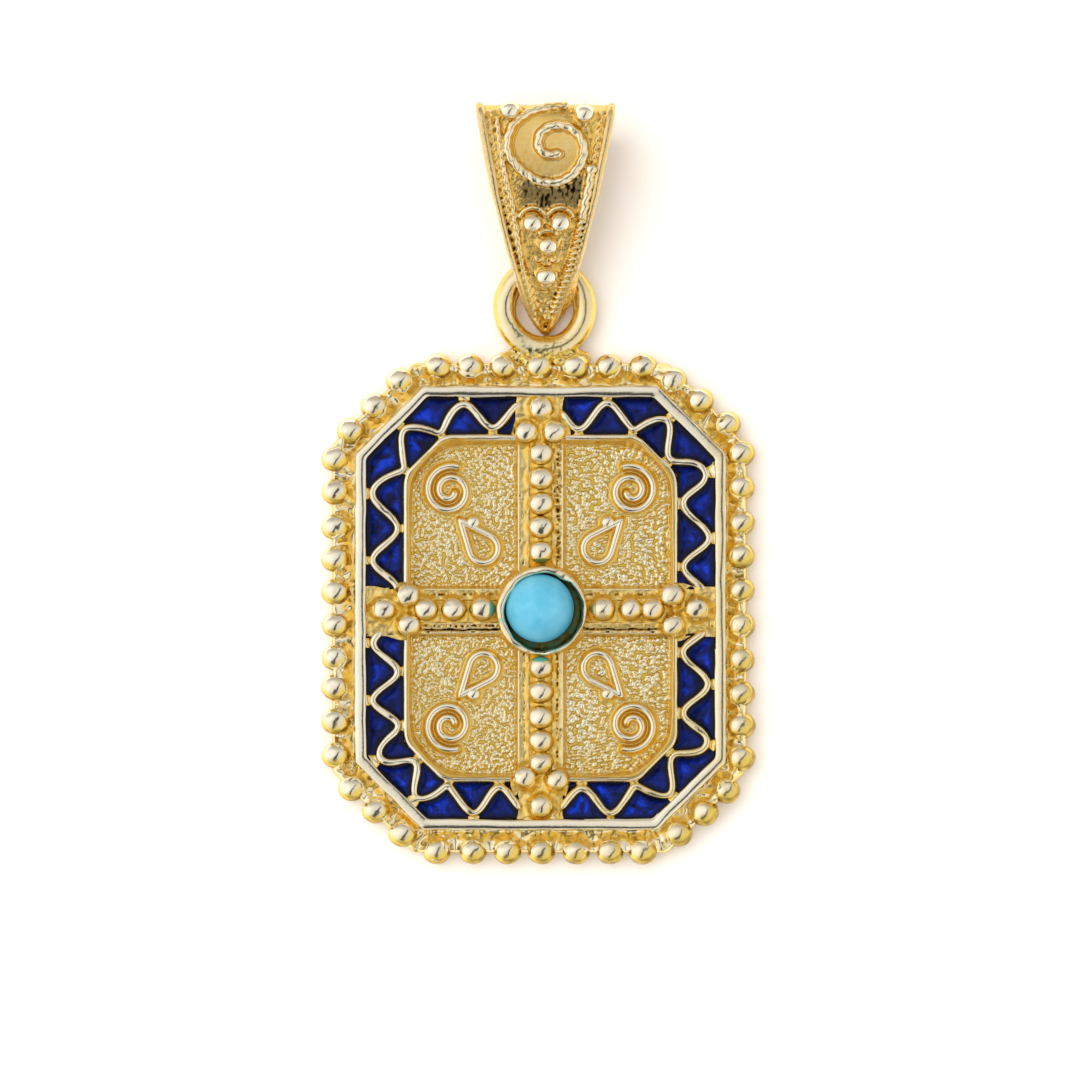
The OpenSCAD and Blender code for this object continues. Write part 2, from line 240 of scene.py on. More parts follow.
def creases(piece, passes):
    """How sharply the surface folds at each point, in 1/mm: hollows above 0 and ridges below."""
    points, normals = point_array(piece), vertex_array(piece, "normal")
    ends = np.empty(len(piece.data.edges) * 2, int)
    piece.data.edges.foreach_get("vertices", ends)
    a, b = ends.reshape(-1, 2).T
    size = len(points)
    degree = np.maximum(np.bincount(a, minlength=size) + np.bincount(b, minlength=size), 1)
    gap = points[b] - points[a]
    run = (gap ** 2).sum(1)
    lean = (np.bincount(a, (gap * normals[a]).sum(1), size)
            + np.bincount(b, (-gap * normals[b]).sum(1), size))
    spread = np.bincount(a, run, size) + np.bincount(b, run, size)
    bend = 2 * lean / np.maximum(spread, 1e-9)
    for _ in range(passes):
        bend = 0.5 * bend + 0.5 * (np.bincount(a, bend[b], size) + np.bincount(b, bend[a], size)) / degree
    return bend


def wear_and_painted_light(piece, base, wheel, dirt_and_shade, passes=2, soot_and_shade=0.0, sharp=1.0):
    """Sets how pale and how brown each point is painted: the wheel's polish and painted highlight go on
    ridges, and dirt and painted shade stay in creases, with soot_and_shade added. On a finely worked surface
    sharp is how much tighter a crease has to be to hold them."""
    bend = creases(piece, passes) / sharp
    polish = base + wheel * fade(-bend, 0.5, 4.0) - 0.4 * fade(bend, 1.0, 5.0)
    set_attribute(piece, "polish", np.clip(polish, 0, 1))
    set_attribute(piece, "dirt_and_shade", np.clip(dirt_and_shade * fade(bend, 1.2, 6.0) + soot_and_shade, 0, 1.2))


def sheen_to_upper_left(xy, least=0.6):
    """Share of painted highlight that the tops keep: all of it at the upper left, the lamp's side, and least
    at the lower right, which is painted as in shade.
    """
    return 1 - (1 - least) * fade(0.7 * xy[:, 0] - 0.7 * xy[:, 1], -1.0, 13.0)


def shine_by_slope(piece, low, high, shade=0.0, lean=0.0):
    """Paints polish and painted highlight on what faces up and towards the upper left, and not on what faces
    sideways.
    Lean says how much less of it the lower side gets, and shade how much brown is painted there as painted
    shade."""
    normal = vertex_array(piece, "normal")
    toward_lower_right = 1 - sheen_to_upper_left(point_array(piece), 0.0)
    tilt = normal[:, 1] - (0.5 + 0.4 * toward_lower_right) * normal[:, 0]
    facing = normal[:, 2] + lean * tilt - 0.12 * toward_lower_right
    set_attribute(piece, "polish", fade(facing, low, high) * (1 - 0.15 * toward_lower_right))
    set_attribute(piece, "dirt_and_shade", shade * (1 - fade(facing, low - 0.4, high - 0.25)))


# Outlines

def octagon_points(inset):
    x, y, c = rim_w / 2 - inset, rim_h / 2 - inset, rim_cut - inset * cut_per_inset
    return np.array([[x, y - c], [x - c, y], [c - x, y], [-x, y - c],
                     [-x, c - y], [c - x, -y], [x - c, -y], [x, c - y]])


def octagon_loop(inset, step=0.085, soften=2):
    """Points round the octagon, counterclockwise, with the same count at every inset."""
    reference, corners = octagon_points(0), octagon_points(inset)
    run = []
    for i in range(8):
        count = int(np.linalg.norm(reference[(i + 1) % 8] - reference[i]) / step)
        t = np.arange(count)[:, None] / count
        run.append(corners[i] * (1 - t) + corners[(i + 1) % 8] * t)
    loop = np.concatenate(run)
    return sum(np.roll(loop, k, 0) for k in range(-soften, soften + 1)) / (2 * soften + 1)


def quarter_line(inset):
    """Corners of the upper right quarter of the octagon, from the top middle to the right middle."""
    corners = octagon_points(inset)
    return np.array([[0, corners[1][1]], corners[1], corners[0], [corners[0][0], 0]])


quarter_corners = quarter_line(rim_wall + channel_w / 2)
quarter_steps = np.linalg.norm(np.diff(quarter_corners, axis=0), axis=1)
quarter_length = quarter_steps.sum()


def quarter_point(s):
    """A point along the channel's middle line, s from its start."""
    for i in range(3):
        if i == 2 or s <= quarter_steps[i]:
            return quarter_corners[i] + s * (quarter_corners[i + 1] - quarter_corners[i]) / quarter_steps[i]
        s -= quarter_steps[i]


def eased_point(s):
    """The same point with the line's corners rounded off."""
    return (quarter_point(s - corner_ease) + quarter_point(s) + quarter_point(s + corner_ease)) / 3


def eased_outward(s):
    d = quarter_point(s + corner_ease) - quarter_point(s - corner_ease)
    d = d / np.linalg.norm(d)
    return np.array([-d[1], d[0]])


def wave_points(crests, reaches, steps=16):
    """The waved wire of one quarter, drawn for the upper right, with how far out each crest comes."""
    points = []
    for i in range(len(crests) - 1):
        side = 1 if i % 2 == 0 else -1
        for k in range(steps + (i == len(crests) - 2)):
            t = k / steps
            s = (crests[i] + (crests[i + 1] - crests[i]) * t) * quarter_length
            reach = reaches[i] if t < 0.5 else reaches[i + 1]
            points.append(eased_point(s) + side * reach * math.cos(math.pi * t) * eased_outward(s))
    return np.array(points)


def distance_to_line(points, line):
    """Distance of each point to a run of points, in the plane of the plate."""
    best = np.full(len(points), 1e9)
    for a, b in zip(line[:-1], line[1:]):
        d = b - a
        t = np.clip(((points - a) @ d) / max(d @ d, 1e-12), 0, 1)
        best = np.minimum(best, np.hypot(*(points - a - t[:, None] * d).T))
    return best


def spiral_points(r_in, r_out, turns, start_degrees, steps=40):
    count = round(turns * steps)
    t = np.arange(count + 1) / count
    a = np.radians(start_degrees) + 2 * math.pi * turns * t
    r = r_in + (r_out - r_in) * t
    return np.stack([r * np.cos(a), r * np.sin(a)], 1)


def drop_points(length, r):
    """A drop: round at one end and pointed at the other."""
    reach = length - r
    a = math.acos(r / reach)
    b = math.pi / 2 + a + (2 * math.pi - 2 * a) * np.arange(49) / 48
    arc_points = r * np.stack([np.cos(b), np.sin(b)], 1)
    return np.concatenate([[[0, reach]], arc_points, [[0, reach]]])


def evenly(line, step):
    """The same line with its points a step apart."""
    line = np.asarray(line, float)
    along = np.concatenate([[0], np.cumsum(np.linalg.norm(np.diff(line, axis=0), axis=1))])
    at = np.linspace(0, along[-1], max(int(along[-1] / step), 2) + 1)
    return np.stack([np.interp(at, along, line[:, k]) for k in range(line.shape[1])], 1)


def smoothed(line, passes):
    line = np.array(line, float)
    for _ in range(passes):
        line[1:-1] = 0.25 * line[:-2] + 0.5 * line[1:-1] + 0.25 * line[2:]
    return line


# Nodes

def add_node(tree, kind, inputs=(), output=0, **settings):
    """Adds a node, sets its settings and gives back one of its outputs. Its inputs, by name or in order, get
    a value or a link from another node's output."""
    node = tree.nodes.new(kind)
    for key, value in settings.items():
        setattr(node, key, value)
    for key, value in inputs.items() if isinstance(inputs, dict) else enumerate(inputs):
        if isinstance(value, bpy.types.NodeSocket):
            tree.links.new(value, node.inputs[key])
        else:
            node.inputs[key].default_value = value
    return node.outputs[output] if len(node.outputs) else None


# Geometry Nodes

def new_tree(name, **floats):
    tree = bpy.data.node_groups.new(name, "GeometryNodeTree")
    tree.interface.new_socket("Geometry", in_out="INPUT", socket_type="NodeSocketGeometry")
    for key, value in floats.items():
        tree.interface.new_socket(key, in_out="INPUT", socket_type="NodeSocketFloat").default_value = value
    tree.interface.new_socket("Finish", in_out="INPUT", socket_type="NodeSocketMaterial")
    tree.interface.new_socket("Geometry", in_out="OUTPUT", socket_type="NodeSocketGeometry")
    return tree, add_node(tree, "NodeGroupInput").node.outputs


def close_tree(tree, geometry, start):
    """Ends a tree in Realize Instances and Set Material."""
    real = add_node(tree, "GeometryNodeRealizeInstances", {"Geometry": geometry})
    smooth = add_node(tree, "GeometryNodeSetShadeSmooth", {"Geometry": real})
    painted = add_node(tree, "GeometryNodeSetMaterial", {"Geometry": smooth, "Material": start["Finish"]})
    add_node(tree, "NodeGroupOutput", {"Geometry": painted})
    return tree


def pushed(tree, geometry, depth):
    """Moves a surface along its normals."""
    normal = add_node(tree, "GeometryNodeInputNormal")
    push = add_node(tree, "ShaderNodeVectorMath", {0: normal, "Scale": depth}, operation="SCALE")
    return add_node(tree, "GeometryNodeSetPosition", {"Geometry": geometry, "Offset": push})


def bead_tree():
    """A granule on every point, each a little different in size, with melted dents."""
    tree, start = new_tree("granules", Radius=0.78 * MM, Squash=0.8, Spread=0.03, Dent=0.02 * MM, Seed=1.0)
    ball = add_node(tree, "GeometryNodeMeshUVSphere",
                    {"Segments": 30, "Rings": 20, "Radius": start["Radius"]})
    # The Random Value node has sockets for each data type: inputs 2 and 3 and output 1 are the floats
    least = add_node(tree, "ShaderNodeMath", (1.0, start["Spread"]), operation="SUBTRACT")
    most = add_node(tree, "ShaderNodeMath", (1.0, start["Spread"]), operation="ADD")
    size = add_node(tree, "FunctionNodeRandomValue", {2: least, 3: most, "Seed": 3}, 1, data_type="FLOAT")
    shape = add_node(tree, "ShaderNodeCombineXYZ", (1.03, 0.95, start["Squash"]))
    flat = add_node(tree, "GeometryNodeTransform", {"Geometry": ball, "Scale": shape})
    placed = add_node(tree, "GeometryNodeInstanceOnPoints",
                      {"Points": start["Geometry"], "Instance": flat, "Scale": size})
    real = add_node(tree, "GeometryNodeRealizeInstances", {"Geometry": placed})
    merged = add_node(tree, "GeometryNodeMergeByDistance", {"Geometry": real, "Distance": 0.001 * MM})
    noise = add_node(tree, "ShaderNodeTexNoise", {"W": start["Seed"], "Scale": 1400.0, "Detail": 1.0},
                     noise_dimensions="4D")
    centred = add_node(tree, "ShaderNodeMath", (noise, 0.5), operation="SUBTRACT")
    depth = add_node(tree, "ShaderNodeMath", (centred, start["Dent"]), operation="MULTIPLY")
    return close_tree(tree, pushed(tree, merged, depth), start)


def wire_tree():
    """A round wire along a line of points. The point attribute thick scales it, as solder swells it."""
    tree, start = new_tree("laid wire", Radius=0.19 * MM, Flatness=1.0)
    line = add_node(tree, "GeometryNodeMeshToCurve", {"Mesh": start["Geometry"]})
    ring = add_node(tree, "GeometryNodeCurvePrimitiveCircle", {"Resolution": 18, "Radius": start["Radius"]})
    squash = add_node(tree, "ShaderNodeCombineXYZ", (1.0, start["Flatness"], 1.0))
    section = add_node(tree, "GeometryNodeTransform", {"Geometry": ring, "Scale": squash})
    thick = add_node(tree, "GeometryNodeInputNamedAttribute", {"Name": "thick"}, data_type="FLOAT")
    upright = add_node(tree, "GeometryNodeSetCurveNormal", {"Curve": line}, mode="Z_UP")
    swollen = add_node(tree, "GeometryNodeSetCurveRadius", {"Curve": upright, "Radius": thick})
    tube = add_node(tree, "GeometryNodeCurveToMesh",
                    {"Curve": swollen, "Profile Curve": section, "Fill Caps": True, "Scale": thick})
    return close_tree(tree, tube, start)


def rope_tree():
    """Two strands twisted together along a line of points."""
    tree, start = new_tree("twisted wire", Strand=0.12 * MM, Apart=0.5, Twist=6000.0)
    line = add_node(tree, "GeometryNodeMeshToCurve", {"Mesh": start["Geometry"]})
    even = add_node(tree, "GeometryNodeResampleCurve", {"Curve": line, "Length": 0.045 * MM}, mode="LENGTH")
    along = add_node(tree, "GeometryNodeSplineParameter", output="Length")
    turn = add_node(tree, "ShaderNodeMath", (along, start["Twist"]), operation="MULTIPLY")
    tilted = add_node(tree, "GeometryNodeSetCurveTilt", {"Curve": even, "Tilt": turn})
    ring = add_node(tree, "GeometryNodeCurvePrimitiveCircle", {"Resolution": 10, "Radius": start["Strand"]})
    apart = add_node(tree, "ShaderNodeMath", (start["Strand"], start["Apart"]), operation="MULTIPLY")
    strands = []
    for side in (1.0, -1.0):
        reach = add_node(tree, "ShaderNodeMath", (apart, side), operation="MULTIPLY")
        shift = add_node(tree, "ShaderNodeCombineXYZ", {"X": reach})
        strands.append(add_node(tree, "GeometryNodeTransform", {"Geometry": ring, "Translation": shift}))
    pair = add_node(tree, "GeometryNodeJoinGeometry", strands[:1])
    tree.links.new(strands[1], pair.node.inputs[0])
    tube = add_node(tree, "GeometryNodeCurveToMesh",
                    {"Curve": tilted, "Profile Curve": pair, "Fill Caps": True})
    return close_tree(tree, tube, start)


def roughen_tree():
    """Works a surface over with punch marks and casting grain, as far as the point attribute worked says."""
    tree, start = new_tree("worked surface", Grain=0.25 * MM, Depth=0.05 * MM, Swirl=0.3, Seed=1.0)
    where = add_node(tree, "GeometryNodeInputPosition")
    # The pattern is swirled by a slower noise before it is read
    drift = add_node(tree, "ShaderNodeTexNoise", {"W": start["Seed"], "Scale": 700.0, "Detail": 2.0},
                     "Color", noise_dimensions="4D")
    shift = add_node(tree, "ShaderNodeVectorMath", (drift, (0.5, 0.5, 0.5)), operation="SUBTRACT")
    swirl = add_node(tree, "ShaderNodeMath", (start["Swirl"], MM), operation="MULTIPLY")
    bent = add_node(tree, "ShaderNodeVectorMath", {0: shift, "Scale": swirl}, operation="SCALE")
    place = add_node(tree, "ShaderNodeVectorMath", (where, bent), operation="ADD")
    scale = add_node(tree, "ShaderNodeMath", (1.0, start["Grain"]), operation="DIVIDE")
    marks = add_node(tree, "ShaderNodeTexNoise", {"Vector": place, "W": start["Seed"], "Scale": scale,
                                                  "Detail": 3.0, "Roughness": 0.62}, noise_dimensions="4D")
    sharp = add_node(tree, "ShaderNodeMapRange", (marks, 0.32, 0.68, -0.5, 0.5))
    worked = add_node(tree, "GeometryNodeInputNamedAttribute", {"Name": "worked"}, data_type="FLOAT")
    depth = add_node(tree, "ShaderNodeMath", (sharp, start["Depth"]), operation="MULTIPLY")
    masked = add_node(tree, "ShaderNodeMath", (depth, worked), operation="MULTIPLY")
    return close_tree(tree, pushed(tree, start["Geometry"], masked), start)


# Materials

def new_material(name):
    material = bpy.data.materials.new(name)
    material.use_nodes = True
    material.node_tree.nodes.clear()
    return material, material.node_tree


def finish_material(material, inputs):
    """Ends a material in a Principled shader with these inputs."""
    surface = add_node(material.node_tree, "ShaderNodeBsdfPrincipled", inputs)
    add_node(material.node_tree, "ShaderNodeOutputMaterial", {"Surface": surface})
    return material


def set_stops(ramp, first, last, *between):
    """Gives a colour ramp's output its (place, colour) stops."""
    stops = ramp.node.color_ramp.elements
    for stop, (place, colour) in zip(stops, (first, last)):
        stop.position = place
        stop.color = linear(colour)
    for place, colour in between:
        stops.new(place).color = linear(colour)


def gold(name, tops, hollows, smooth, rough, scratch, soil=None):
    """Yellow gold plate over brass, cast and polished by hand: the tops are painted pale and bright, partly
    for the wheel's polish and partly as painted highlight, and the hollows keep the deep yellow of the
    plating bath and a finer, duller grain. The point attribute polish says how pale each point is painted."""
    material, tree = new_material(name)
    where = add_node(tree, "ShaderNodeTexCoord", output="Object")
    # Patches about half a millimetre across, where the wheel bore harder or less hard
    patches = add_node(tree, "ShaderNodeTexNoise", {"Vector": where, "Scale": 1800.0, "Detail": 3.0})
    patch = add_node(tree, "ShaderNodeMath", (patches, 0.5), operation="SUBTRACT")
    # Pale tops: polish and painted highlight, as far as polish says
    polish = add_node(tree, "ShaderNodeAttribute", output="Fac", attribute_name="polish")
    reach = add_node(tree, "ShaderNodeMath", (patch, 0.5, polish), operation="MULTIPLY_ADD", use_clamp=True)
    colour = add_node(tree, "ShaderNodeMix", {0: reach, 6: linear(hollows), 7: linear(tops)}, 2,
                      data_type="RGBA")
    # Brown painted where dirt_and_shade says: painted shade in creases and on lower sides, with wax and dust
    # that the brush missed
    crease = add_node(tree, "ShaderNodeAttribute", output="Fac", attribute_name="dirt_and_shade")
    patchy = add_node(tree, "ShaderNodeMath", (patch, 1.2, crease), operation="MULTIPLY_ADD")
    held = add_node(tree, "ShaderNodeMath", (patchy, crease), operation="MULTIPLY", use_clamp=True)
    brown = add_node(tree, "ShaderNodeValToRGB", {"Fac": held})
    set_stops(brown, (0.0, "#b89a55"), (1.0, "#2d2212"), (0.62, "#795e33"))
    colour = add_node(tree, "ShaderNodeMix", {0: held, 6: colour, 7: brown}, 2, data_type="RGBA")
    metal = 1.0
    if soil:
        # The first colour up to 1.5 mm above the middle of the cross, and the second from 2.5 mm on
        stain = add_node(tree, "ShaderNodeAttribute", output="Fac", attribute_name="stain")
        broken = add_node(tree, "ShaderNodeMath", (patch, 0.6, stain), operation="MULTIPLY_ADD")
        share = add_node(tree, "ShaderNodeMapRange", (broken, 0.3, 0.7))
        up = add_node(tree, "ShaderNodeSeparateXYZ", {"Vector": where}, 1)
        upward = add_node(tree, "ShaderNodeMapRange", (up, 1.5 * MM, 2.5 * MM))
        green = add_node(tree, "ShaderNodeMix", {0: upward, 6: linear(soil[0]), 7: linear(soil[1])}, 2,
                         data_type="RGBA")
        colour = add_node(tree, "ShaderNodeMix", {0: share, 6: colour, 7: green}, 2, data_type="RGBA")
        metal = add_node(tree, "ShaderNodeMapRange", (share, 0.0, 1.0, 1.0, 0.25))
    # Grain of the casting skin and the fine lines of the polishing stick, 0.03 to 0.1 mm apart
    grain = add_node(tree, "ShaderNodeTexNoise", {"Vector": where, "Scale": 9000.0, "Detail": 2.0})
    dull = add_node(tree, "ShaderNodeMapRange", (reach, 0.0, 1.0, rough, smooth))
    speck = add_node(tree, "ShaderNodeMath", (grain, 0.12, dull), operation="MULTIPLY_ADD")
    bump = add_node(tree, "ShaderNodeBump", {"Height": grain, "Strength": scratch, "Distance": 0.02 * MM})
    return finish_material(material, {"Metallic": metal, "Base Color": colour, "Roughness": speck,
                                      "Normal": bump})


def enamel_material():
    """Transparent cobalt enamel, fired in the cells and ground flush: glassy, painted near black against the
    wires as painted shade, with a mottled clear blue painted for the light that comes back from the sheet
    below."""
    material, tree = new_material("fired cobalt enamel, glossy")
    where = add_node(tree, "ShaderNodeTexCoord", output="Object")
    cloud = add_node(tree, "ShaderNodeTexNoise", {"Vector": where, "Scale": 1300.0, "Detail": 4.0,
                                                  "Roughness": 0.6, "Distortion": 0.6})
    clear = add_node(tree, "ShaderNodeMapRange", (cloud, 0.32, 0.68, 0.08))
    # Painted light: dark against the wires as painted shade, brighter blue away from them as painted light
    # from the sheet below
    inside = add_node(tree, "ShaderNodeAttribute", output="Fac", attribute_name="inside")
    lit = add_node(tree, "ShaderNodeMath", (clear, inside), operation="MULTIPLY")
    blue = add_node(tree, "ShaderNodeValToRGB", {"Fac": lit})
    set_stops(blue, (0.0, "#050509"), (1.0, "#0e38c6"), (0.45, "#08185c"))
    # The fired surface swells and sinks over about half a millimetre
    swell = add_node(tree, "ShaderNodeTexNoise", {"Vector": where, "Scale": 2200.0, "Detail": 2.0})
    bump = add_node(tree, "ShaderNodeBump", {"Height": swell, "Strength": 0.35, "Distance": 0.05 * MM})
    return finish_material(material, {"Base Color": blue, "Roughness": 0.12, "Specular IOR Level": 0.15,
                                      "Normal": bump})


def turquoise_material():
    """Robin's egg turquoise, cut and polished to a satin dome: even sky blue with pale clouding."""
    material, tree = new_material("polished turquoise, satin")
    where = add_node(tree, "ShaderNodeTexCoord", output="Object")
    cloud = add_node(tree, "ShaderNodeTexNoise", {"Vector": where, "Scale": 700.0, "Detail": 4.0})
    sky = add_node(tree, "ShaderNodeValToRGB", {"Fac": cloud})
    set_stops(sky, (0.35, "#49a6c2"), (0.7, "#6ab9d3"))
    fine = add_node(tree, "ShaderNodeTexNoise", {"Vector": where, "Scale": 6000.0, "Detail": 2.0})
    satin = add_node(tree, "ShaderNodeMapRange", (fine, 0.0, 1.0, 0.34, 0.5))
    bump = add_node(tree, "ShaderNodeBump", {"Height": fine, "Strength": 0.1, "Distance": 0.01 * MM})
    return finish_material(material, {"Base Color": sky, "IOR": 1.6, "Roughness": satin, "Normal": bump})


polished = gold("gold plate, hand polished", "#f9f0d8", "#f6d466", 0.08, 0.2, 0.1)
sanded = gold("gold plate, sanded with a punch", "#fff7d6", "#f0c85c", 0.16, 0.28, 0.15)
stained = gold("gold plate with green tarnish", "#f9efd6", "#f2ca5c", 0.09, 0.24, 0.1,
               ("#559e90", "#66753a"))
cast = gold("gold plate over a rough casting", "#faeecb", "#f0c45e", 0.09, 0.22, 0.12)
fouled = gold("gold cup fouled with verdigris", "#8f7a3a", "#4f4a22", 0.2, 0.4, 0.8,
              ("#2a4a30", "#2a4a30"))
enamel_blue = enamel_material()
turquoise = turquoise_material()

granules = bead_tree()
laid_wire = wire_tree()
twisted_wire = rope_tree()
worked_surface = roughen_tree()

pieces = []


def keep(piece, slot, node):
    pieces.append((piece, slot, node))


def roughened(piece, grain, depth, swirl, seed, material):
    """Works a piece over where its attribute worked says so."""
    return finish_with(piece, worked_surface, Grain=grain * MM, Depth=depth * MM, Swirl=swirl, Seed=seed,
                       Finish=material)


def bead_piece(name, points, radius, seed, spread=0.03, dent=0.02, squash=0.85, material=polished):
    """Granules on points in space. Dent is how deep they are melted in."""
    return finish_with(make_piece(name, points), granules, Radius=radius * MM, Squash=squash, Spread=spread,
                       Dent=dent * MM, Seed=seed, Finish=material)


def wire_piece(name, points, radius, thick=1.0, flat=1.0, closed=False):
    """A wire along points in space. Thick is how far it is swollen along the way."""
    count = len(points)
    edges = [(i, (i + 1) % count) for i in range(count if closed else count - 1)]
    piece = make_piece(name, points, edges=edges, thick=thick * np.ones(count))
    return finish_with(piece, laid_wire, Radius=radius * MM, Flatness=flat, Finish=polished)


def rope_piece(name, points, strand, twist, apart):
    """Two strands twisted along points in space, by twist in radians for each millimetre."""
    piece = make_piece(name, points, edges=[(i, i + 1) for i in range(len(points) - 1)])
    return finish_with(piece, twisted_wire, Strand=strand * MM, Apart=apart, Twist=twist / MM,
                       Finish=polished)


def climbing(xy, beads, start, run, most):
    """Sum of the solder that climbs each bead: it sets in at start from the bead's centre, over run."""
    climb = np.zeros(len(xy))
    for bead in beads:
        d = np.hypot(xy[:, 0] - bead[0], xy[:, 1] - bead[1])
        climb += np.clip((start - d) / run, 0, most) ** 2
    return climb


# Plate: back, scalloped ledge and outer rim in one loft

loop_base = octagon_loop(0)
loop_in = octagon_loop(1) - loop_base
loop_count = len(loop_base)
round_way = 2 * math.pi * np.arange(loop_count) / loop_count


def on_loop(out):
    """Points round the plate, moved out from the rim's outer edge by out, alike or each by its own."""
    return loop_base - np.reshape(out, (-1, 1)) * loop_in


def wander(seed, size, reach):
    """A smooth closed wobble round the plate."""
    circle = np.column_stack([np.cos(round_way), np.sin(round_way)]) * 13.0
    return reach * uneven(circle, size, seed, 3)


def scalloped_reach():
    """How far the ledge reaches at each point round the plate: it swells round every bead."""
    reach = 1.12 - 0.16 * fade(loop_base[:, 0], 9.0, 10.5)
    collar_r = edge_bead_r * 0.8
    out = -loop_in
    a = (out ** 2).sum(1)
    for bead in edge_beads:
        gap = loop_base - bead
        b = (gap * out).sum(1)
        disc = b * b - a * ((gap ** 2).sum(1) - collar_r ** 2)
        hit = np.where(disc > 0, (-b + np.sqrt(np.maximum(disc, 0))) / a, 0)
        reach = soft_max(reach, np.where((disc > 0) & (hit > 0.4), hit, 0), 0.16)
    return reach


def ledge_height(xy):
    """The ledge is lumpy with solder, which also climbs the beads and has small blow holes."""
    holes = fade(uneven(xy, 0.3, 15, 1), 0.35, 0.75) * fade(uneven(xy, 1.6, 16, 1), -0.1, 0.4)
    climb = climbing(xy, edge_beads, 1.36, 0.62, 1.1)
    return (ledge_t + 0.46 * np.minimum(climb, 1.3) + 0.22 * uneven(xy, 0.62, 11, 1)
            + 0.06 * uneven(xy, 0.3, 12, 1) - 0.16 * holes)


def make_tray():
    # The rim was filed by hand, so its edges and its crown wander by a few hundredths of a millimetre
    outer_edge, inner_edge, crown_lift = wander(1, 2.4, 0.035), wander(2, 1.9, 0.035), wander(3, 5.0, 0.02)
    crown_lean = wander(4, 3.5, 0.05) - 0.07 * fade(-loop_base[:, 1], 12.0, 13.0)
    reach = scalloped_reach()
    rows, polish, worked = [], [], []

    def add_row(out, z, shine, grain=0.0):
        rows.append(at_height(on_loop(out), z))
        polish.append(np.broadcast_to(shine, loop_count))
        worked.append(np.broadcast_to(grain, loop_count))

    # The flat back, then up the outside of the ledge: (how far inside its reach, height)
    for out in (-7.0, -3.0, 0.3):
        add_row(out, 0.0, 0.6)
    for shrink, z in ((0.3, 0.0), (0.12, 0.015), (0.04, 0.06), (0.0, 0.15), (-0.01, 0.4), (0.0, 0.7),
                      (0.0, 0.92), (0.05, 1.06)):
        add_row(reach - shrink, z, 0.1, 0.4 * (z > 0.1))
    # Across the ledge and up the rim's outer wall
    for t in np.linspace(0, 1, 24):
        out = (reach - 0.13) * (1 - t) + 0.1 * t
        z = ledge_height(on_loop(out)) - 0.06 * (1 - t) ** 6
        add_row(out, z, 0.3 + 0.35 * fade(z, 1.2, 1.6), 1.0)
    for out, z in ((0.06, 1.23), (0.03, 1.3), (0.015, 1.42), (0.01, 1.6), (0.0, 1.8), (0.0, 1.93)):
        add_row(out + outer_edge, np.maximum(z, ledge_height(on_loop(out))), 0.15 + 0.3 * (z > 1.8), 0.3)
    # Over the crown and down the inner wall
    for t in np.linspace(0, 1, 13):
        across = 2 * t - 1
        edge_round = 0.1 * (1 - math.sqrt(1 - min(abs(across), 0.995) ** 8))
        z = rim_top + 0.005 - 0.062 * across ** 2 - edge_round + crown_lift + crown_lean * 0.5 * across
        add_row(outer_edge * (1 - t) + (inner_edge - rim_wall) * t, z, 1.0, 0.15)
    for z in (1.94, 1.8, 1.4, 1.0):
        add_row(inner_edge - rim_wall, z, 0.7 if z > 1.9 else 0.2)

    faces = grid_faces(len(rows), loop_count, closed_cols=True, flip=True)
    faces.append(list(range(loop_count))[::-1])
    polish = np.concatenate(polish)
    plate = make_piece("tray_ledge_and_rim", np.concatenate(rows), faces, polished, polish=polish,
                       worked=np.concatenate(worked))
    roughened(plate, 0.34, 0.02, 0.3, 4.0, polished)
    # Painted highlight on the crown and the higher ledge, less towards the right; painted shade low on the
    # outside wall by the card and in the creases
    x, _, z = point_array(plate).T
    wear_and_painted_light(plate, polish * (1 - 0.4 * fade(x, 8.5, 11.5)), wheel=0.6, dirt_and_shade=0.3,
            soot_and_shade=0.3 * fade(z, 0.1, 0.3) * (1 - fade(z, 0.9, 1.3)))
    keep(plate, "gold", "plate")


def make_sheet():
    """The sheet that the enamel, the bands and the panels lie on."""
    sheet = make_piece("sheet_under_enamel", at_height(octagon_loop(0.6), sheet_t), [range(loop_count)],
                       polished, polish=np.zeros(loop_count))
    keep(sheet, "gold", "plate")


def make_beads():
    edge = bead_piece("edge_beads", at_height(edge_beads, edge_bead_z + 0.05), edge_bead_r + 0.03, 2.0,
                      dent=0.15)
    # Painted highlight on the upper sides of the beads and painted shade on their lower sides
    shine_by_slope(edge, 0.6, 1.0, 0.8, 0.45)
    keep(edge, "gold", "plate")
    cross = bead_piece("cross_beads", at_height(cross_beads, cross_bead_z + 0.08), cross_bead_r + 0.075,
                       5.0, dent=0.17, squash=0.8, material=stained)
    shine_by_slope(cross, 0.45, 0.9, 0.8, 0.3)
    keep(cross, "gold", "plate")
    # The granules next to the bezel are tarnished where they touch it
    x, y, _ = point_array(cross).T
    set_attribute(cross, "stain", 1.0 - fade(np.hypot(x - 0.05, y + 0.12), 2.96, 3.14))


# Waved wires with their solder joints, and the inner rim

def cut_below(piece, z):
    """Drops what lies wholly under a level, where the enamel hides it."""
    shape = bmesh.new()
    shape.from_mesh(piece.data)
    lost = [f for f in shape.faces if max(v.co.z for v in f.verts) < z * MM]
    bmesh.ops.delete(shape, geom=lost, context="FACES")
    shape.to_mesh(piece.data)
    shape.free()


def off_bands(xy):
    """Distance from the nearer band of the cross, below 0 on it."""
    return np.minimum(np.abs(xy[:, 0]) - band_w / 2, np.abs(xy[:, 1] - band_y) - band_w / 2)


def under_band(xy, clear=0.05):
    """1 under the bands of the cross and 0 clear of them."""
    return 1 - fade(off_bands(xy), clear - 0.3, clear)


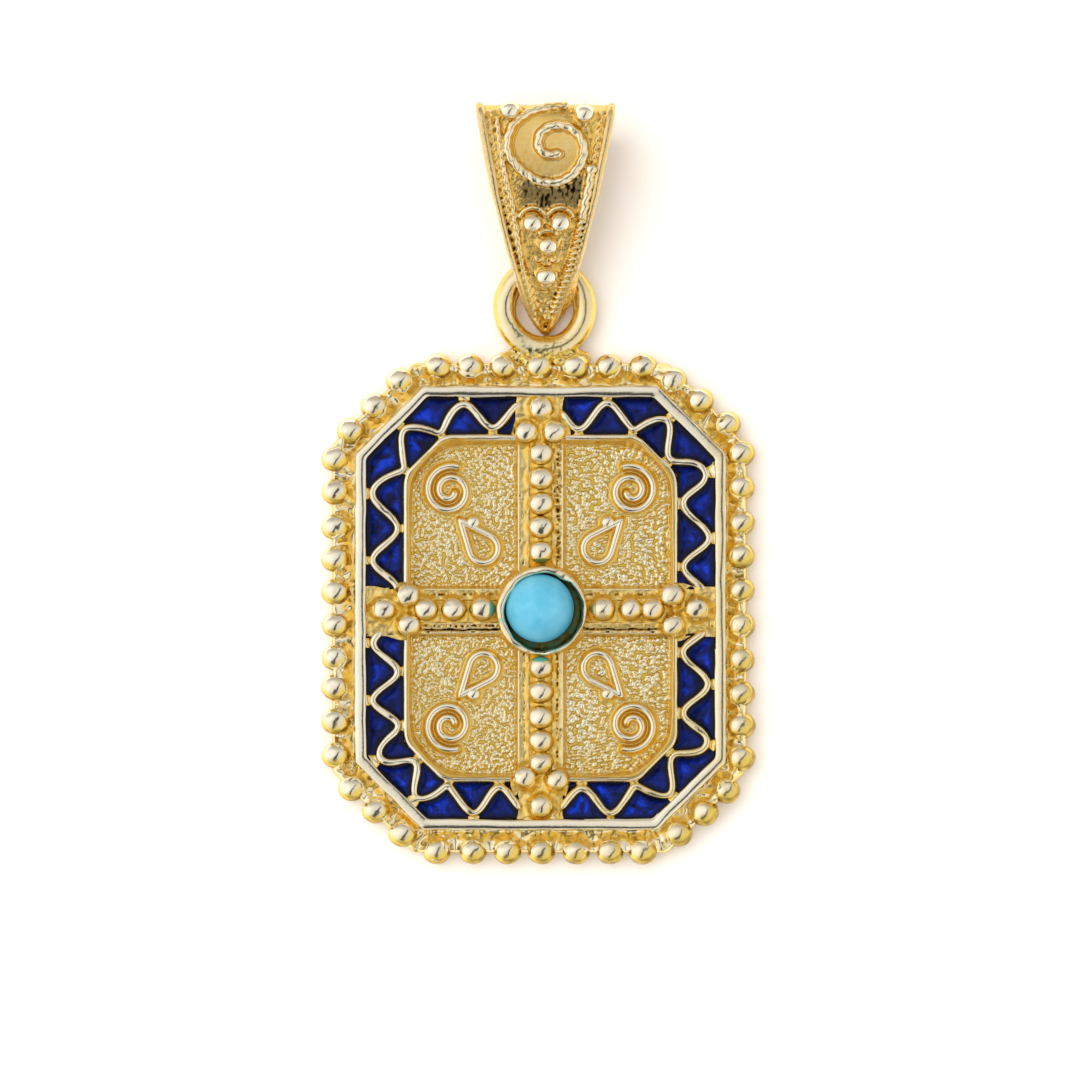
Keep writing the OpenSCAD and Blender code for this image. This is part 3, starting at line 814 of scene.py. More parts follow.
def make_cloisons():
    """Solders the wires into one skin and gives back the line of each waved wire."""
    loop = octagon_loop(rim_wall + channel_w + inner_wall / 2, soften=9)
    wires = [wire_piece("inner_rim", at_height(loop, 1.6 - 0.5 * under_band(loop)), 0.235,
                        1 + 0.1 * uneven(loop, 1.1, 21, 2), 1.4, closed=True)]
    wave_lines = {}
    rng = np.random.default_rng(7)
    for signs, crests in wave_crests.items():
        reaches = wave_reach + rng.uniform(0.02, 0.13, len(crests))
        line = evenly(smoothed(wave_points(crests, reaches), 3), 0.09) * signs
        wave_lines[signs] = line
        z = 1.64 + 0.05 * uneven(line, 1.5, 22, 1) - 0.4 * under_band(line, 0.0)
        wires.append(wire_piece("waved_wire", at_height(line, z), wave_wire / 2 + 0.045,
                                1 + 0.13 * uneven(line, 0.9, 23, 2), 1.15))
        # A drawn-out drop of solder joins each crest to the rim beside it, narrow in the middle
        t = np.linspace(0, 1, 9)[:, None]
        swell = 0.72 + 0.55 * (1 - t[:, 0]) ** 2 + 1.25 * t[:, 0] ** 2
        for i, share in enumerate(crests):
            s = share * quarter_length
            out = eased_outward(s) * (1 if i % 2 == 0 else -1)
            start, end = eased_point(s) + out * reaches[i], eased_point(s) + out * (channel_w / 2 + 0.2)
            bridge = (start * (1 - t) + end * t) * signs
            wires.append(wire_piece("joint", at_height(bridge, 1.58), 0.32 * rng.uniform(0.85, 1.15), swell,
                                    0.48))
    cloisons = joined("waved_wires_and_inner_rim", wires)
    fused(cloisons, 0.066, 2, polished)
    cut_below(cloisons, 1.42)
    # Painted highlight on the upward-facing tops of the wires, strongest at the upper left, and painted
    # shade in the creases
    at, slope = point_array(cloisons), vertex_array(cloisons, "normal")[:, 2]
    wear_and_painted_light(cloisons, 0.95 * fade(slope, 0.35, 0.85) * fade(at[:, 2], 1.7, 1.84) * sheen_to_upper_left(at), wheel=0.0,
            dirt_and_shade=0.8)
    keep(cloisons, "gold", "plate")
    return wave_lines


def make_enamel(signs, wave_line):
    """The fill of one quarter: a strip ruled between the two rims, mitred at the corners as they are. It
    creeps up the metal beside it, and under the bands it sinks out of the way."""
    along = np.linspace(-0.2, quarter_length + 0.2, 210)
    across = np.linspace(-1, 1, 26) * (channel_w / 2 + 0.02)
    corner_at = np.concatenate([[0], np.cumsum(quarter_steps)])
    lines = []
    for a in across:
        line = quarter_line(rim_wall + channel_w / 2 - a)
        lines.append(np.column_stack([np.interp(along, corner_at, line[:, k]) for k in (0, 1)]))
    xy = np.stack(lines, 1).reshape(-1, 2) * signs
    edge = np.minimum(distance_to_line(xy, wave_line) - wave_wire / 2,
                      channel_w / 2 - np.abs(np.tile(across, len(along))))
    beside_band = off_bands(xy)
    edge = np.minimum(edge, beside_band)
    rise = 0.1 * np.exp(-np.maximum(edge, 0) / 0.09) - 0.03 * fade(edge, 0.1, 0.5)
    sink = 0.4 * (1 - fade(edge, -0.2, -0.05)) * (edge < 0) * (beside_band < 0)

    n, m = len(along), len(across)
    rim = ([i * m for i in range(n)] + [(n - 1) * m + j for j in range(1, m)]
           + [i * m + m - 1 for i in range(n - 2, -1, -1)] + list(range(m - 2, 0, -1)))
    base = n * m + np.arange(len(rim))
    mirrored = signs[0] * signs[1] < 0
    turn = -1 if mirrored else 1
    faces = grid_faces(n, m, flip=mirrored)
    for i in range(len(rim)):
        j = (i + 1) % len(rim)
        faces.append([rim[j], rim[i], base[i], base[j]][::turn])
    faces.append(base[::-turn])
    points = np.concatenate([at_height(xy, enamel_top + rise - sink), at_height(xy[rim], sheet_t + 0.05)])
    # How bright the blue is painted: near black against the wires, rims and bands as painted shade, darker
    # towards the top edge, and varying at random
    tone = 0.85 + 0.35 * uneven(xy, 2.6, 71, 1) - 0.2 * fade(xy[:, 1], 11.0, 12.5)
    inside = np.concatenate([fade(edge, 0.02, 0.45) * tone, np.zeros(len(rim))])
    node = "enamel_" + quarter_names[signs]
    keep(make_piece(node + "_fill", points, faces, enamel_blue, inside=inside), "enamel", node)


# Bands of the cross

def band_profile(u, s, grooves, lip_height):
    """Height of a band across its width u and along it s, and the brown painted in its grooves and pits as
    painted shade. The granules lie in a shallow trough between two flat strips with a raised lip."""
    a = np.abs(u)
    z = band_top - 0.13 + 0.13 * fade(a, 0.62, 0.7) + lip_height * np.exp(-((a - lip_at) / 0.05) ** 2)
    z -= 0.1 * fade(a, 1.3, band_w / 2)
    at = np.column_stack([s, u])
    z += 0.022 * uneven(at, 0.35, 31, 2) + 0.025 * uneven(at, 0.9, 32, 1)
    soot_and_shade = np.zeros(len(u))
    for where, depth, broken, begin, thick in grooves:
        line = np.exp(-((u - where - 0.05 * uneven(at, 0.45, 33, 2)) / thick) ** 2)
        gaps = np.clip(1 - broken * (1 - fade(uneven(at, 0.12, 34, 2), -0.45, 0.3)), 0, 1)
        mark = line * gaps * fade(s, begin, begin + 0.6)
        z -= depth * mark
        soot_and_shade = np.maximum(soot_and_shade, 0.65 * fade(mark, 0.2, 0.8))
    # Scattered pits in the casting
    pits = (fade(uneven(at, 0.2, 36, 1), 0.55, 0.85) * fade(a, 0.75, 0.85)
            * fade(uneven(at, 1.2, 37, 1), -0.2, 0.5))
    return z - 0.08 * pits, soot_and_shade + 0.7 * pits


def band_arm(name, length, turn, centre, seed, grooves, lip_height=0.03):
    """One arm of the cross, from under the bezel to the outer rim, with solder climbing its granules. Its
    grooves are (where across, depth, how broken up, from where along, how thick)."""
    half = band_w / 2
    # The side wall: how far past the band's edge, and how high
    wall_out = np.array([0, 0.005, 0.03, 0.08, 0.13, 0.2, 0.26])
    wall_up = [1.5, 1.42, 1.25, 1.1, 1.04, 1.0, 0.95]
    along = np.arange(1.9, length, 0.055)
    across = np.concatenate([-half - wall_out[:0:-1], np.linspace(-half + 0.01, half - 0.01, 61),
                             half + wall_out[1:]])
    s, u = [g.ravel() for g in np.meshgrid(along, across, indexing="ij")]
    # Past the inner rim the strips end, and solder covers the band and flares out towards the granules
    outer = fade(s, length - 2.75, length - 2.35)
    flare = (0.05 + 0.2 * (1 - fade(s, length - 2.2, length - 1.0))
             + 0.08 * uneven(np.column_stack([s, 5 * np.sign(u)]), 0.9, 39, 1))
    spilt = u * (1 + outer * np.maximum(flare, 0))
    c, n = math.cos(turn), math.sin(turn)
    xy = np.column_stack([centre[0] + s * c - spilt * n, centre[1] + s * n + spilt * c])
    # The grooves are given by the side of the picture they lie on: right, or top
    level = abs(n) < 0.5
    side = u * np.sign(c) if level else -u * np.sign(n)
    z, soot_and_shade = band_profile(side, s, grooves, lip_height)
    z += outer * (band_top + 0.14 + 0.13 * uneven(xy, 0.55, 38, 2) - z)
    over = np.abs(u) - half
    z = np.where(over > 0, np.interp(over, wall_out, wall_up) + 0.22 * outer * (over < 0.05), z)
    climb = climbing(xy, cross_beads, 1.1, 0.42, 1.2)
    z = z + 0.3 * np.minimum(climb, 1.3) * (over <= 0)
    top = over <= -0.02
    # Painted shade: brown in the grooves, kept off the solder, and along the lower strip of the level arms
    soot_and_shade = soot_and_shade * (1 - outer) * (1 - fade(climb, 0.02, 0.2)) * top + 0.4 * level * fade(-side, 0.75, 0.9)
    lip = np.exp(-((np.abs(u) - lip_at) / 0.07) ** 2) * (1 - outer) * lip_height / 0.04
    worked = np.where(top, 0.45 + 0.4 * uneven(xy, 0.8, 35, 1), 0.1) * (1 - 0.8 * fade(climb, 0.1, 0.5))
    piece = make_piece(name, np.column_stack([xy, z]), grid_faces(len(along), len(across), flip=True),
                       sanded, worked=worked)
    roughened(piece, 0.2, 0.04, 0.3, seed, sanded)
    # Painted highlight along the raised lips
    wear_and_painted_light(piece, np.where(top, 0.2 + 0.5 * lip, 0.03) * (1 - fade(climb, 0.05, 0.4)), wheel=0.5,
            dirt_and_shade=0.8, soot_and_shade=soot_and_shade, sharp=1.5)
    keep(piece, "gold", "plate")


def make_cross():
    up, side = rim_h / 2 - rim_wall + 0.02, rim_w / 2 - rim_wall + 0.02
    band_arm("band_upper", up, math.pi / 2, (0, 0), 11.0,
             [(1.05, 0.18, 1.1, 1.9, 0.12), (0.85, 0.1, 1.4, 6.0, 0.1)])
    band_arm("band_lower", up, -math.pi / 2, (0, 0), 12.0,
             [(1.0, 0.14, 1.25, 1.9, 0.065), (-0.95, 0.07, 1.4, 1.9, 0.05)])
    band_arm("band_right", side, 0.0, (0, band_y), 13.0,
             [(1.02, 0.14, 1.2, 1.9, 0.06), (-1.05, 0.2, 0.4, 1.9, 0.05)], 0.01)
    band_arm("band_left", side, math.pi, (0, band_y), 14.0,
             [(1.02, 0.16, 1.1, 1.9, 0.06), (-1.08, 0.22, 0.05, 1.9, 0.045), (-0.85, 0.12, 1.3, 1.9, 0.07)],
             0.01)


# Panels with their scrolls, drops and granules

def turned(points, degrees):
    """Points in the plane turned counterclockwise."""
    c, s = math.cos(math.radians(degrees)), math.sin(math.radians(degrees))
    return points @ np.array([[c, s], [-s, c]])


scroll_line = evenly(spiral_points(0.32, 1.5, 1.75, 200), 0.07) + np.array([5.35, 6.9])
drop_line = evenly(smoothed(evenly(drop_points(3.0, 0.85), 0.08), 2), 0.08)
drop_line = turned(drop_line, -40) + np.array([3.35, 3.5])
grain_at = np.array([3.95, 5.05])


def raised(distance, reach, run, height, most=1):
    """Ground that rises to a height as the distance falls below reach, over run."""
    return height * np.clip((reach - distance) / run, 0, most) ** 2


def punch_marks(xy, signs, number):
    """Round marks on the left; on the right the punch was drawn along, so the marks run in waved rows."""
    marks = xy + 0.07 * np.column_stack([uneven(xy, 0.7, 61, 2), uneven(xy, 0.7, 62, 2)])
    if signs[0] < 0:
        marks = marks @ np.array([[0.82, -0.57], [0.57, 0.82]])
    else:
        marks = marks * (0.62, 1.05) + np.outer(uneven(xy, 2.6, 63 + number, 1), (0, 0.5))
    return pebbles(marks, 0.21, 64 + number, 0.8) + 0.15 * uneven(xy, 0.9, 68 + number, 1)


def make_panel(number, signs):
    name = quarter_names[signs]
    scroll, drop, grain = scroll_line * signs, drop_line * signs, grain_at * signs
    x = np.arange(band_w / 2 - 0.1, 7.85, 0.045)
    y = np.arange(band_w / 2 - 0.35, 9.95, 0.045)
    gx, gy = [g.ravel() for g in np.meshgrid(x, y, indexing="ij")]
    xy = np.column_stack([gx, gy]) * signs
    # Distance to the wall of the channel, whose corners are rounded, and to what is soldered on
    edge = rim_wall + channel_w + inner_wall
    half_x, half_y, cut = rim_w / 2 - edge, rim_h / 2 - edge, rim_cut - edge * cut_per_inset
    corner = (half_x + half_y - cut - gx - gy) / math.sqrt(2)
    straight = np.minimum(half_x - gx, half_y - gy)
    wall = np.minimum(np.minimum(straight, corner), -soft_max(-straight, -corner, 0.5))
    band = off_bands(xy)
    wire = np.minimum(distance_to_line(xy, scroll), distance_to_line(xy, drop))
    ball = np.hypot(xy[:, 0] - grain[0], xy[:, 1] - grain[1])
    # The wall leans more along the top than at the sides
    slope_w = 0.13 + 0.15 * (signs[1] > 0) * fade(gy, half_y - 1.0, half_y - 0.3)
    z = (sheet_t + raised(wall, slope_w, slope_w, 0.45, 1.6) + raised(band, 0.22, 0.22, 0.12, 1.3)
         + raised(wire, 0.42, 0.3, 0.22) + raised(ball, 0.62, 0.3, 0.2))
    ground = (fade(wall - slope_w + 0.04 * uneven(xy, 0.5, 60, 2), -0.08, 0.06) * fade(band, 0.05, 0.2)
              * fade(wire, 0.28, 0.5) * fade(ball, 0.5, 0.7))
    dots = punch_marks(xy, signs, number)
    z = z + 0.1 * ground * np.clip(dots, -0.7, 1)
    faces = np.array(grid_faces(len(x), len(y), flip=signs[0] * signs[1] < 0))
    inside = (wall[faces] > -0.3).all(1)
    panel = make_piece("panel_" + name, np.column_stack([xy, z]), faces[inside].tolist(), sanded,
                       worked=ground)
    roughened(panel, 0.14, 0.03, 0.25, 20.0 + number, sanded)
    # Painted highlight on the tops of the punch-mark pebbles and painted shade in the gaps between them
    wear_and_painted_light(panel, 0.05 + 0.95 * ground * fade(dots, 0.4, 0.85), wheel=0.25, dirt_and_shade=0.6, passes=1, sharp=3.0,
            soot_and_shade=0.85 * ground * (1 - fade(dots, 0.05, 0.62)))
    keep(panel, "gold", "plate")
    wire_z = sheet_t + 0.28
    wires = [wire_piece("scroll", at_height(scroll, wire_z), 0.2),
             wire_piece("drop", at_height(drop[:-1], wire_z), 0.2, closed=True)]
    ornament = joined("ornament_" + name, wires)
    shine_by_slope(ornament, 0.3, 0.75)
    keep(ornament, "gold", "plate")
    speck = bead_piece("granule_" + name, at_height([grain], sheet_t + 0.21), 0.42, 30.0 + number)
    shine_by_slope(speck, 0.3, 0.7)
    keep(speck, "gold", "plate")


# Bezel and stone

lathe_steps = 96


def lathe(name, profile, centre, material, wobble=None):
    """Turns a profile of (radius, height) about an upright axis. A radius of 0 closes a pole."""
    a = 2 * math.pi * np.arange(lathe_steps) / lathe_steps
    points, rings, faces = [], [], []
    for r, z in profile:
        if r < 1e-6:
            rings.append([len(points)])
            points.append([centre[0], centre[1], z])
            continue
        radius, height = (r, z) if wobble is None else wobble(a, r, z)
        rings.append(list(range(len(points), len(points) + lathe_steps)))
        circle = np.column_stack([centre[0] + radius * np.cos(a), centre[1] + radius * np.sin(a)])
        points += at_height(circle, height).tolist()
    for low, high in zip(rings[:-1], rings[1:]):
        for k in range(lathe_steps):
            k2 = (k + 1) % lathe_steps
            if len(low) == 1:
                faces.append([low[0], high[k2], high[k]])
            elif len(high) == 1:
                faces.append([low[k], low[k2], high[0]])
            else:
                faces.append([low[k], low[k2], high[k2], high[k]])
    return make_piece(name, points, faces, material)


def bell(a, at, width):
    """1 at one place round the axis and falling off to both sides."""
    return np.exp(-(np.angle(np.exp(1j * (a - at))) / width) ** 2)


def hammered(a, r, z):
    """The collet was pressed over by hand, so its lip is nowhere quite round or level: it is broad at the
    upper left and thin at the right, with a nick at the bottom."""
    lift = np.clip((z - 1.6) / 1.0, 0, 1)
    spot = np.column_stack([np.cos(a), np.sin(a)]) * 2.5
    inward = fade(2.66 - r, 0.02, 0.36) * lift
    nick, dent = bell(a, -1.62, 0.13), bell(a, 0.98, 0.16)
    radius = (r + lift * (0.03 * np.sin(2 * a + 0.6) + 0.04 * uneven(spot + r, 0.9, 42, 2))
              - inward * (0.16 * np.cos(a - 2.6) + 0.06 * uneven(spot, 0.7, 44, 2)) - 0.12 * inward * dent)
    height = (z + lift * (0.05 * np.sin(a + 2.5) + 0.06 * uneven(spot, 0.8, 43, 2))
              - lift * (0.4 * nick + 0.12 * dent))
    return radius, height


def make_bezel():
    centre = (0.08, -0.15)
    lip = [(2.88, 1.0), (2.86, 1.4), (2.8, 1.54), (2.72, 1.64), (2.67, 1.8), (2.65, 2.1), (2.64, 2.4),
           (2.63, 2.56), (2.6, 2.64), (2.54, 2.69), (2.47, 2.71), (2.41, 2.7), (2.36, 2.67), (2.31, 2.6),
           (2.3, 2.5), (2.3, 2.3)]
    cup = [(2.36, 2.5), (2.3, 2.38), (2.24, 2.2), (2.2, 2.1), (2.12, 2.04), (1.9, 2.0), (1.2, 1.98),
           (0, 1.98)]
    collet = lathe("bezel", lip, centre, stained, hammered)
    # Painted highlight on the top of the lip, less on its outer side
    shine = [fade(z, 1.9, 2.6) * (0.8 - 0.55 * fade(r, 2.5, 2.62)) + 0.05 for r, z in lip]
    set_attribute(collet, "polish", np.repeat(shine, lathe_steps))
    # Tarnish along the inside of the lip and in patches round it
    at = point_array(collet)
    turn = np.arctan2(at[:, 1] - centre[1], at[:, 0] - centre[0])
    patches = fade(uneven(np.column_stack([turn * 2.4, at[:, 2]]), 0.5, 41, 2), 0.35, 0.8)
    inner = np.repeat([0.42 if r < 2.32 else 0.0 for r, _ in lip], lathe_steps)
    set_attribute(collet, "stain", inner + 0.55 * patches)
    keep(collet, "gold", "plate")
    bowl = lathe("bezel_cup", cup, centre, fouled, hammered)
    at = point_array(bowl)
    set_attribute(bowl, "polish", np.full(len(at), 0.2))
    set_attribute(bowl, "stain", 0.5 + 0.45 * uneven(at[:, :2] + at[:, 2:], 0.22, 47, 2))
    keep(bowl, "gold", "plate")


def make_stone():
    foot, girdle = band_top + 0.05, band_top + 0.75
    dome = stone_top - girdle
    dome_r = (stone_r ** 2 + dome ** 2) / (2 * dome)
    half_angle = math.asin(stone_r / dome_r)
    profile = [(0, foot), (1.0, foot), (stone_r - 0.1, foot), (stone_r - 0.02, foot + 0.04),
               (stone_r, foot + 0.12), (stone_r, girdle - 0.1)]
    for i in range(33):
        a = half_angle * (1 - i / 32)
        profile.append((dome_r * math.sin(a), stone_top - dome_r * (1 - math.cos(a))))
    keep(lathe("turquoise_cabochon", profile, (-0.04, -0.02), turquoise), "turquoise", "cabochon")


# Ring, its collar and the solder that joins them

def make_ring():
    steps, sides = 96, 28
    a, b = np.meshgrid(2 * math.pi * np.arange(steps) / steps, 2 * math.pi * np.arange(sides) / sides,
                       indexing="ij")
    r = (ring_wire_r + 0.04) * (1 + 0.02 * np.sin(3 * a + 1) + 0.015 * np.sin(7 * a))
    out = ring_r - 0.02 + r * np.cos(b)
    torus = np.stack([ring_x - 0.05 + out * np.cos(a), ring_y + out * np.sin(a), ring_z + r * np.sin(b)],
                     -1)
    collar_line = [[-2.3, 14.5, 0.95], [-1.2, 14.75, 1.05], [0.3, 14.85, 1.1], [1.8, 14.75, 1.05],
                   [2.8, 14.5, 0.95]]
    # Blobs of solder round the foot of the ring: (across, up, height, radius)
    blobs = [(-1.3, 15.12, 1.1, 0.42), (1.55, 15.12, 1.1, 0.42), (-1.85, 14.75, 1.0, 0.42),
             (-1.0, 15.1, 1.15, 0.55), (-0.3, 15.15, 1.3, 0.5), (0.5, 15.15, 1.35, 0.5),
             (1.3, 15.15, 1.2, 0.5), (1.95, 14.85, 1.1, 0.42), (2.5, 14.65, 0.9, 0.4),
             (-0.75, 14.5, 1.55, 0.35), (1.1, 14.55, 1.5, 0.38), (2.0, 14.55, 1.4, 0.3),
             (0.15, 14.8, 1.6, 0.35)]
    tube = grid_faces(steps, sides, True, True, flip=True)
    parts = [make_piece("ring", torus.reshape(-1, 3), tube, polished),
             wire_piece("collar", evenly(collar_line, 0.2), 0.55)]
    for k, (*at, radius) in enumerate(blobs):
        parts.append(bead_piece("blob", [at], radius, 60.0 + k, 0.1, 0.3))
    ring = joined("ring_and_collar", parts)
    fused(ring, 0.072, 5, polished)
    at = point_array(ring)
    near_collar = 1 - fade(at[:, 1], 14.8, 15.4)
    set_attribute(ring, "worked", 0.9 * near_collar + 0.1)
    roughened(ring, 0.36, 0.1, 0.4, 9.0, polished)
    specks = fade(uneven(at[:, :2], 0.2, 48, 2), 0.45, 0.8) * (1 - fade(at[:, 1], 15.6, 16.2))
    # Painted highlight on what faces up, more on the left half, the lamp's side, than on the right, and the
    # collar gets little polish
    reach = 0.5 + 0.15 * (at[:, 0] < ring_x) - 0.45 * near_collar
    slope = vertex_array(ring, "normal")[:, 2]
    wear_and_painted_light(ring, fade(slope, 0.5, 0.97) * reach + 0.02, wheel=0.15, dirt_and_shade=1.0, soot_and_shade=0.8 * specks)
    keep(ring, "gold", "plate")


# Bail: a tapered strip whose front rises from the tip, turns over at the top and comes back down behind

strip_t, bail_tip_y, bail_length, fold_y = 0.5, 16.2, 13.3, 26.4
nose_length = 3.8
front_r, front_centre = 13.687, np.array([27.3445, -7.6959])
front_start = math.pi - math.asin((strip_t / 2 - front_centre[1]) / front_r)
front_stop = math.acos((28.35 - front_centre[0]) / front_r)
turn_r = 0.97
# Half the bail's width at places up from its tip
bail_sections = np.array([[0, 0.12], [0.35, 0.5], [1, 0.95], [2, 1.4], [3.5, 1.88], [5, 2.32], [8, 3.1],
                          [11, 3.72], [13.5, 4.16], [14, 4.2]])


def bail_half_width(y):
    return np.interp(y - bail_tip_y, bail_sections[:, 0], bail_sections[:, 1])


def arc(centre, radius_y, radius_z, start, stop, count):
    a = np.linspace(start, stop, count)
    return np.column_stack([centre[0] + radius_y * np.cos(a), centre[1] + radius_z * np.sin(a)])


# The strip's middle line in Y and Z, its outward side and the line of its face
front_path = arc(front_centre, front_r, front_r, front_start, front_stop, 200)
turn_centre = front_path[-1] - turn_r * np.array([math.cos(front_stop), math.sin(front_stop)])
turn_path = arc(turn_centre, turn_r, turn_r, front_stop, 0, 26)[1:]
top_y, top_z = turn_path[-1]
back_path = arc((fold_y, top_z), top_y - fold_y, top_z - strip_t / 2, 0, -math.pi / 2, 60)[1:]
flat_path = np.column_stack([np.linspace(fold_y, bail_tip_y + 0.1, 50)[1:], np.full(49, strip_t / 2)])
bail_line = np.concatenate([front_path, turn_path, back_path, flat_path])
heading = np.gradient(bail_line, axis=0)
heading /= np.linalg.norm(heading, axis=1)[:, None]
bail_outward = np.stack([-heading[:, 1], heading[:, 0]], 1)
top_of_fold = len(front_path) + len(turn_path)
face_line = bail_line + bail_outward * strip_t / 2


def face_at(y):
    """The front face and its outward side, in Y and Z, where the face passes y as seen from above."""
    q = np.interp(y, face_line[:top_of_fold, 0], np.arange(top_of_fold))
    steps = np.arange(len(face_line))
    return [np.stack([np.interp(q, steps, line[:, k]) for k in (0, 1)], -1)
            for line in (face_line, bail_outward)]


def on_bail(x, y, above=0.0):
    """Points on the bail's front face at x and y as seen from above, raised above the face."""
    at, outward = face_at(np.atleast_1d(y))
    return np.column_stack([np.broadcast_to(x, len(at)), at + outward * above])


def strip_loft(name, start, stop, columns, thickness, material):
    """A length of the strip as a closed bar. Its nose is thicker on the right, as it was hammered over."""
    rows = []
    across = np.linspace(-1, 1, columns)
    for i in range(start, stop):
        half = bail_half_width(bail_line[i][0])
        nose = min(max((bail_line[i][0] - bail_tip_y) / nose_length, 0), 1)
        swell = math.sin(math.pi * nose) * (i < top_of_fold)
        for x, side in ((across, 1), (across[::-1], -1)):
            wide = half + np.where(x > 0, (-0.2 if side > 0 else 0.36) * swell, 0)
            yz = bail_line[i] + side * bail_outward[i] * thickness / 2
            rows.append(np.column_stack([ring_x + x * wide, np.tile(yz, (columns, 1))]))
    per_row, count = 2 * columns, stop - start
    faces = grid_faces(count, per_row, closed_cols=True, flip=True)
    faces.append(range(per_row))
    faces.append(range(count * per_row - 1, (count - 1) * per_row - 1, -1))
    points = np.concatenate(rows)
    return make_piece(name, points, faces, material, polish=np.full(len(points), 0.3))


# Twisted wires of the bail: (points across and up, strand, twist, height, how far apart the strands lie)
left_thread = [(-2.55, 28.7), (-2.45, 27.6), (-2.28, 26.5), (-2.02, 25.1), (-1.6, 23.4), (-1.36, 21.9),
               (-1.1, 20.2), (-0.78, 18.8), (-0.35, 17.3)]
right_rope = [(2.96, 25.7), (2.92, 25.2), (2.78, 24.5), (2.6, 23.7), (2.44, 22.9)]
right_low_rope = [(2.5, 23.2), (2.3, 22.2), (2.08, 21.25), (1.72, 20.08), (1.38, 19.1), (1.0, 18.1),
                  (0.7, 17.4)]
scroll_rope = [(1.6, 29.3), (0.6, 29.27), (-0.62, 29.0), (-1.6, 28.35), (-1.97, 27.4), (-1.85, 26.5),
               (-1.2, 25.7), (-0.1, 24.98), (1.0, 24.9), (1.9, 25.35), (2.5, 26.2), (2.6, 27.0),
               (2.25, 27.75), (1.55, 28.2), (0.75, 28.28), (0.1, 27.98), (-0.2, 27.45), (-0.1, 26.85),
               (0.35, 26.5), (1.0, 26.6)]
bail_ropes = ((left_thread, 0.14, 6.5, 0.07, 0.35), (right_rope, 0.23, 4.5, 0.09, 0.2),
              (right_low_rope, 0.19, 8.0, 0.02, 0.75), (scroll_rope, 0.25, 5.0, 0.12, 0.18))
# Solder arches over the middle three granules: (across, up, radius, half angle)
bail_arches = ((-0.46, 22.66, 0.8, 1.25), (1.15, 22.66, 0.8, 1.25), (0.44, 21.42, 0.74, 0.8))
# Granules: (across, up, radius, height)
bail_granules = [(-1.81, 28.98, 0.57, 0.3), (2.56, 28.82, 0.58, 0.3), (-0.46, 22.74, 0.56, 0.5),
                 (1.15, 22.74, 0.56, 0.5), (0.44, 21.47, 0.55, 0.5), (0.33, 19.74, 0.56, 0.5)]
# Runs of solder round them: (across, up, radius)
bail_solder = [(-0.75, 23.1, 0.28), (-0.95, 22.5, 0.3), (1.55, 23.05, 0.28), (1.7, 22.5, 0.26),
               (0.35, 22.75, 0.24), (0.9, 21.6, 0.3), (0.0, 21.5, 0.28), (0.45, 20.95, 0.3),
               (0.5, 22.1, 0.3), (-0.1, 20.55, 0.22), (0.9, 20.5, 0.24), (0.35, 20.3, 0.2),
               (0.3, 19.15, 0.32), (0.28, 18.9, 0.22), (0.26, 18.65, 0.16), (-2.3, 29.1, 0.25),
               (-1.3, 29.25, 0.25), (2.05, 29.15, 0.25), (3.0, 29.0, 0.22), (0.2, 17.6, 0.25),
               (0.45, 17.2, 0.22), (0.15, 18.1, 0.16), (0.5, 18.0, 0.16)]
# The right-hand wire starts in a ball where it was melted, and the scroll ends in a smaller one
melted_ends = ((2.97, 25.72, 0.34), (1.0, 26.6, 0.27))
# Middle of the field inside the scroll
field_x, field_y = 0.35, 27.0


def edge_parts(side):
    """The wire along one edge of the bail and the fine twisted wire inside it."""
    top = bail_tip_y + bail_length
    y = np.linspace(bail_tip_y + 0.15, top - 0.12, 150)
    nose = 0.2 * np.sin(math.pi * np.clip((y - bail_tip_y) / nose_length, 0, 1)) * (side > 0)
    broad = fade(y, 22.0, 26.5)
    line = on_bail(ring_x + side * (bail_half_width(y) - nose - 0.17 - 0.06 * broad), y, 0.06)
    wire = wire_piece("edge_wire", line, 0.2, 1 + 0.3 * broad + 0.16 * uneven(line[:, :2], 0.8, 51, 2))
    y = np.arange(17.6, top - 0.3, 0.1)
    row = on_bail(ring_x + side * (bail_half_width(y) - 0.66), y, -0.06)
    return [wire, rope_piece("fine_rope", row, 0.16, 6.0, 0.5)]


def bail_front_parts():
    """Everything that is soldered to the front of the bail, and its granules apart."""
    parts = [strip_loft("front", 0, top_of_fold + 14, 31, strip_t, polished)]
    for side in (-1, 1):
        parts += edge_parts(side)
    for knots, strand, twist, lift, apart in bail_ropes:
        x, y = smoothed(evenly(knots, 0.12), 6).T
        parts.append(rope_piece("rope", evenly(on_bail(x, y, lift), 0.08), strand, twist, apart))
    for x, y, reach, half_angle in bail_arches:
        a = np.linspace(-half_angle, half_angle, 17)
        parts.append(wire_piece("arch", on_bail(x + reach * np.sin(a), y + reach * np.cos(a), 0.07), 0.17))
    balls = []
    for k, (x, y, r, above) in enumerate(bail_granules):
        at = on_bail(x, y, above)
        parts.append(bead_piece("core", at - (0, 0, 0.14), r - 0.16, 70.0 + k, 0.02, 0.05, 1.0))
        parts.append(bead_piece("solder", on_bail(x, y + 0.02, -0.04), r + 0.14, 270.0 + k, 0.02, 0.3, 0.4))
        balls.append(bead_piece("grain", at, r, 170.0 + k, 0.02, 0.06, 1.0))
    for k, (x, y, r) in enumerate(bail_solder):
        parts.append(bead_piece("solder", on_bail(x, y, -0.02), r + 0.04, 80.0 + k, 0.1, 0.2, 0.5))
    for k, (x, y, r) in enumerate(melted_ends):
        parts.append(bead_piece("solder", on_bail(x, y, 0.14), r, 290.0 + k, 0.0, 0.03, 0.9))
    return parts, balls


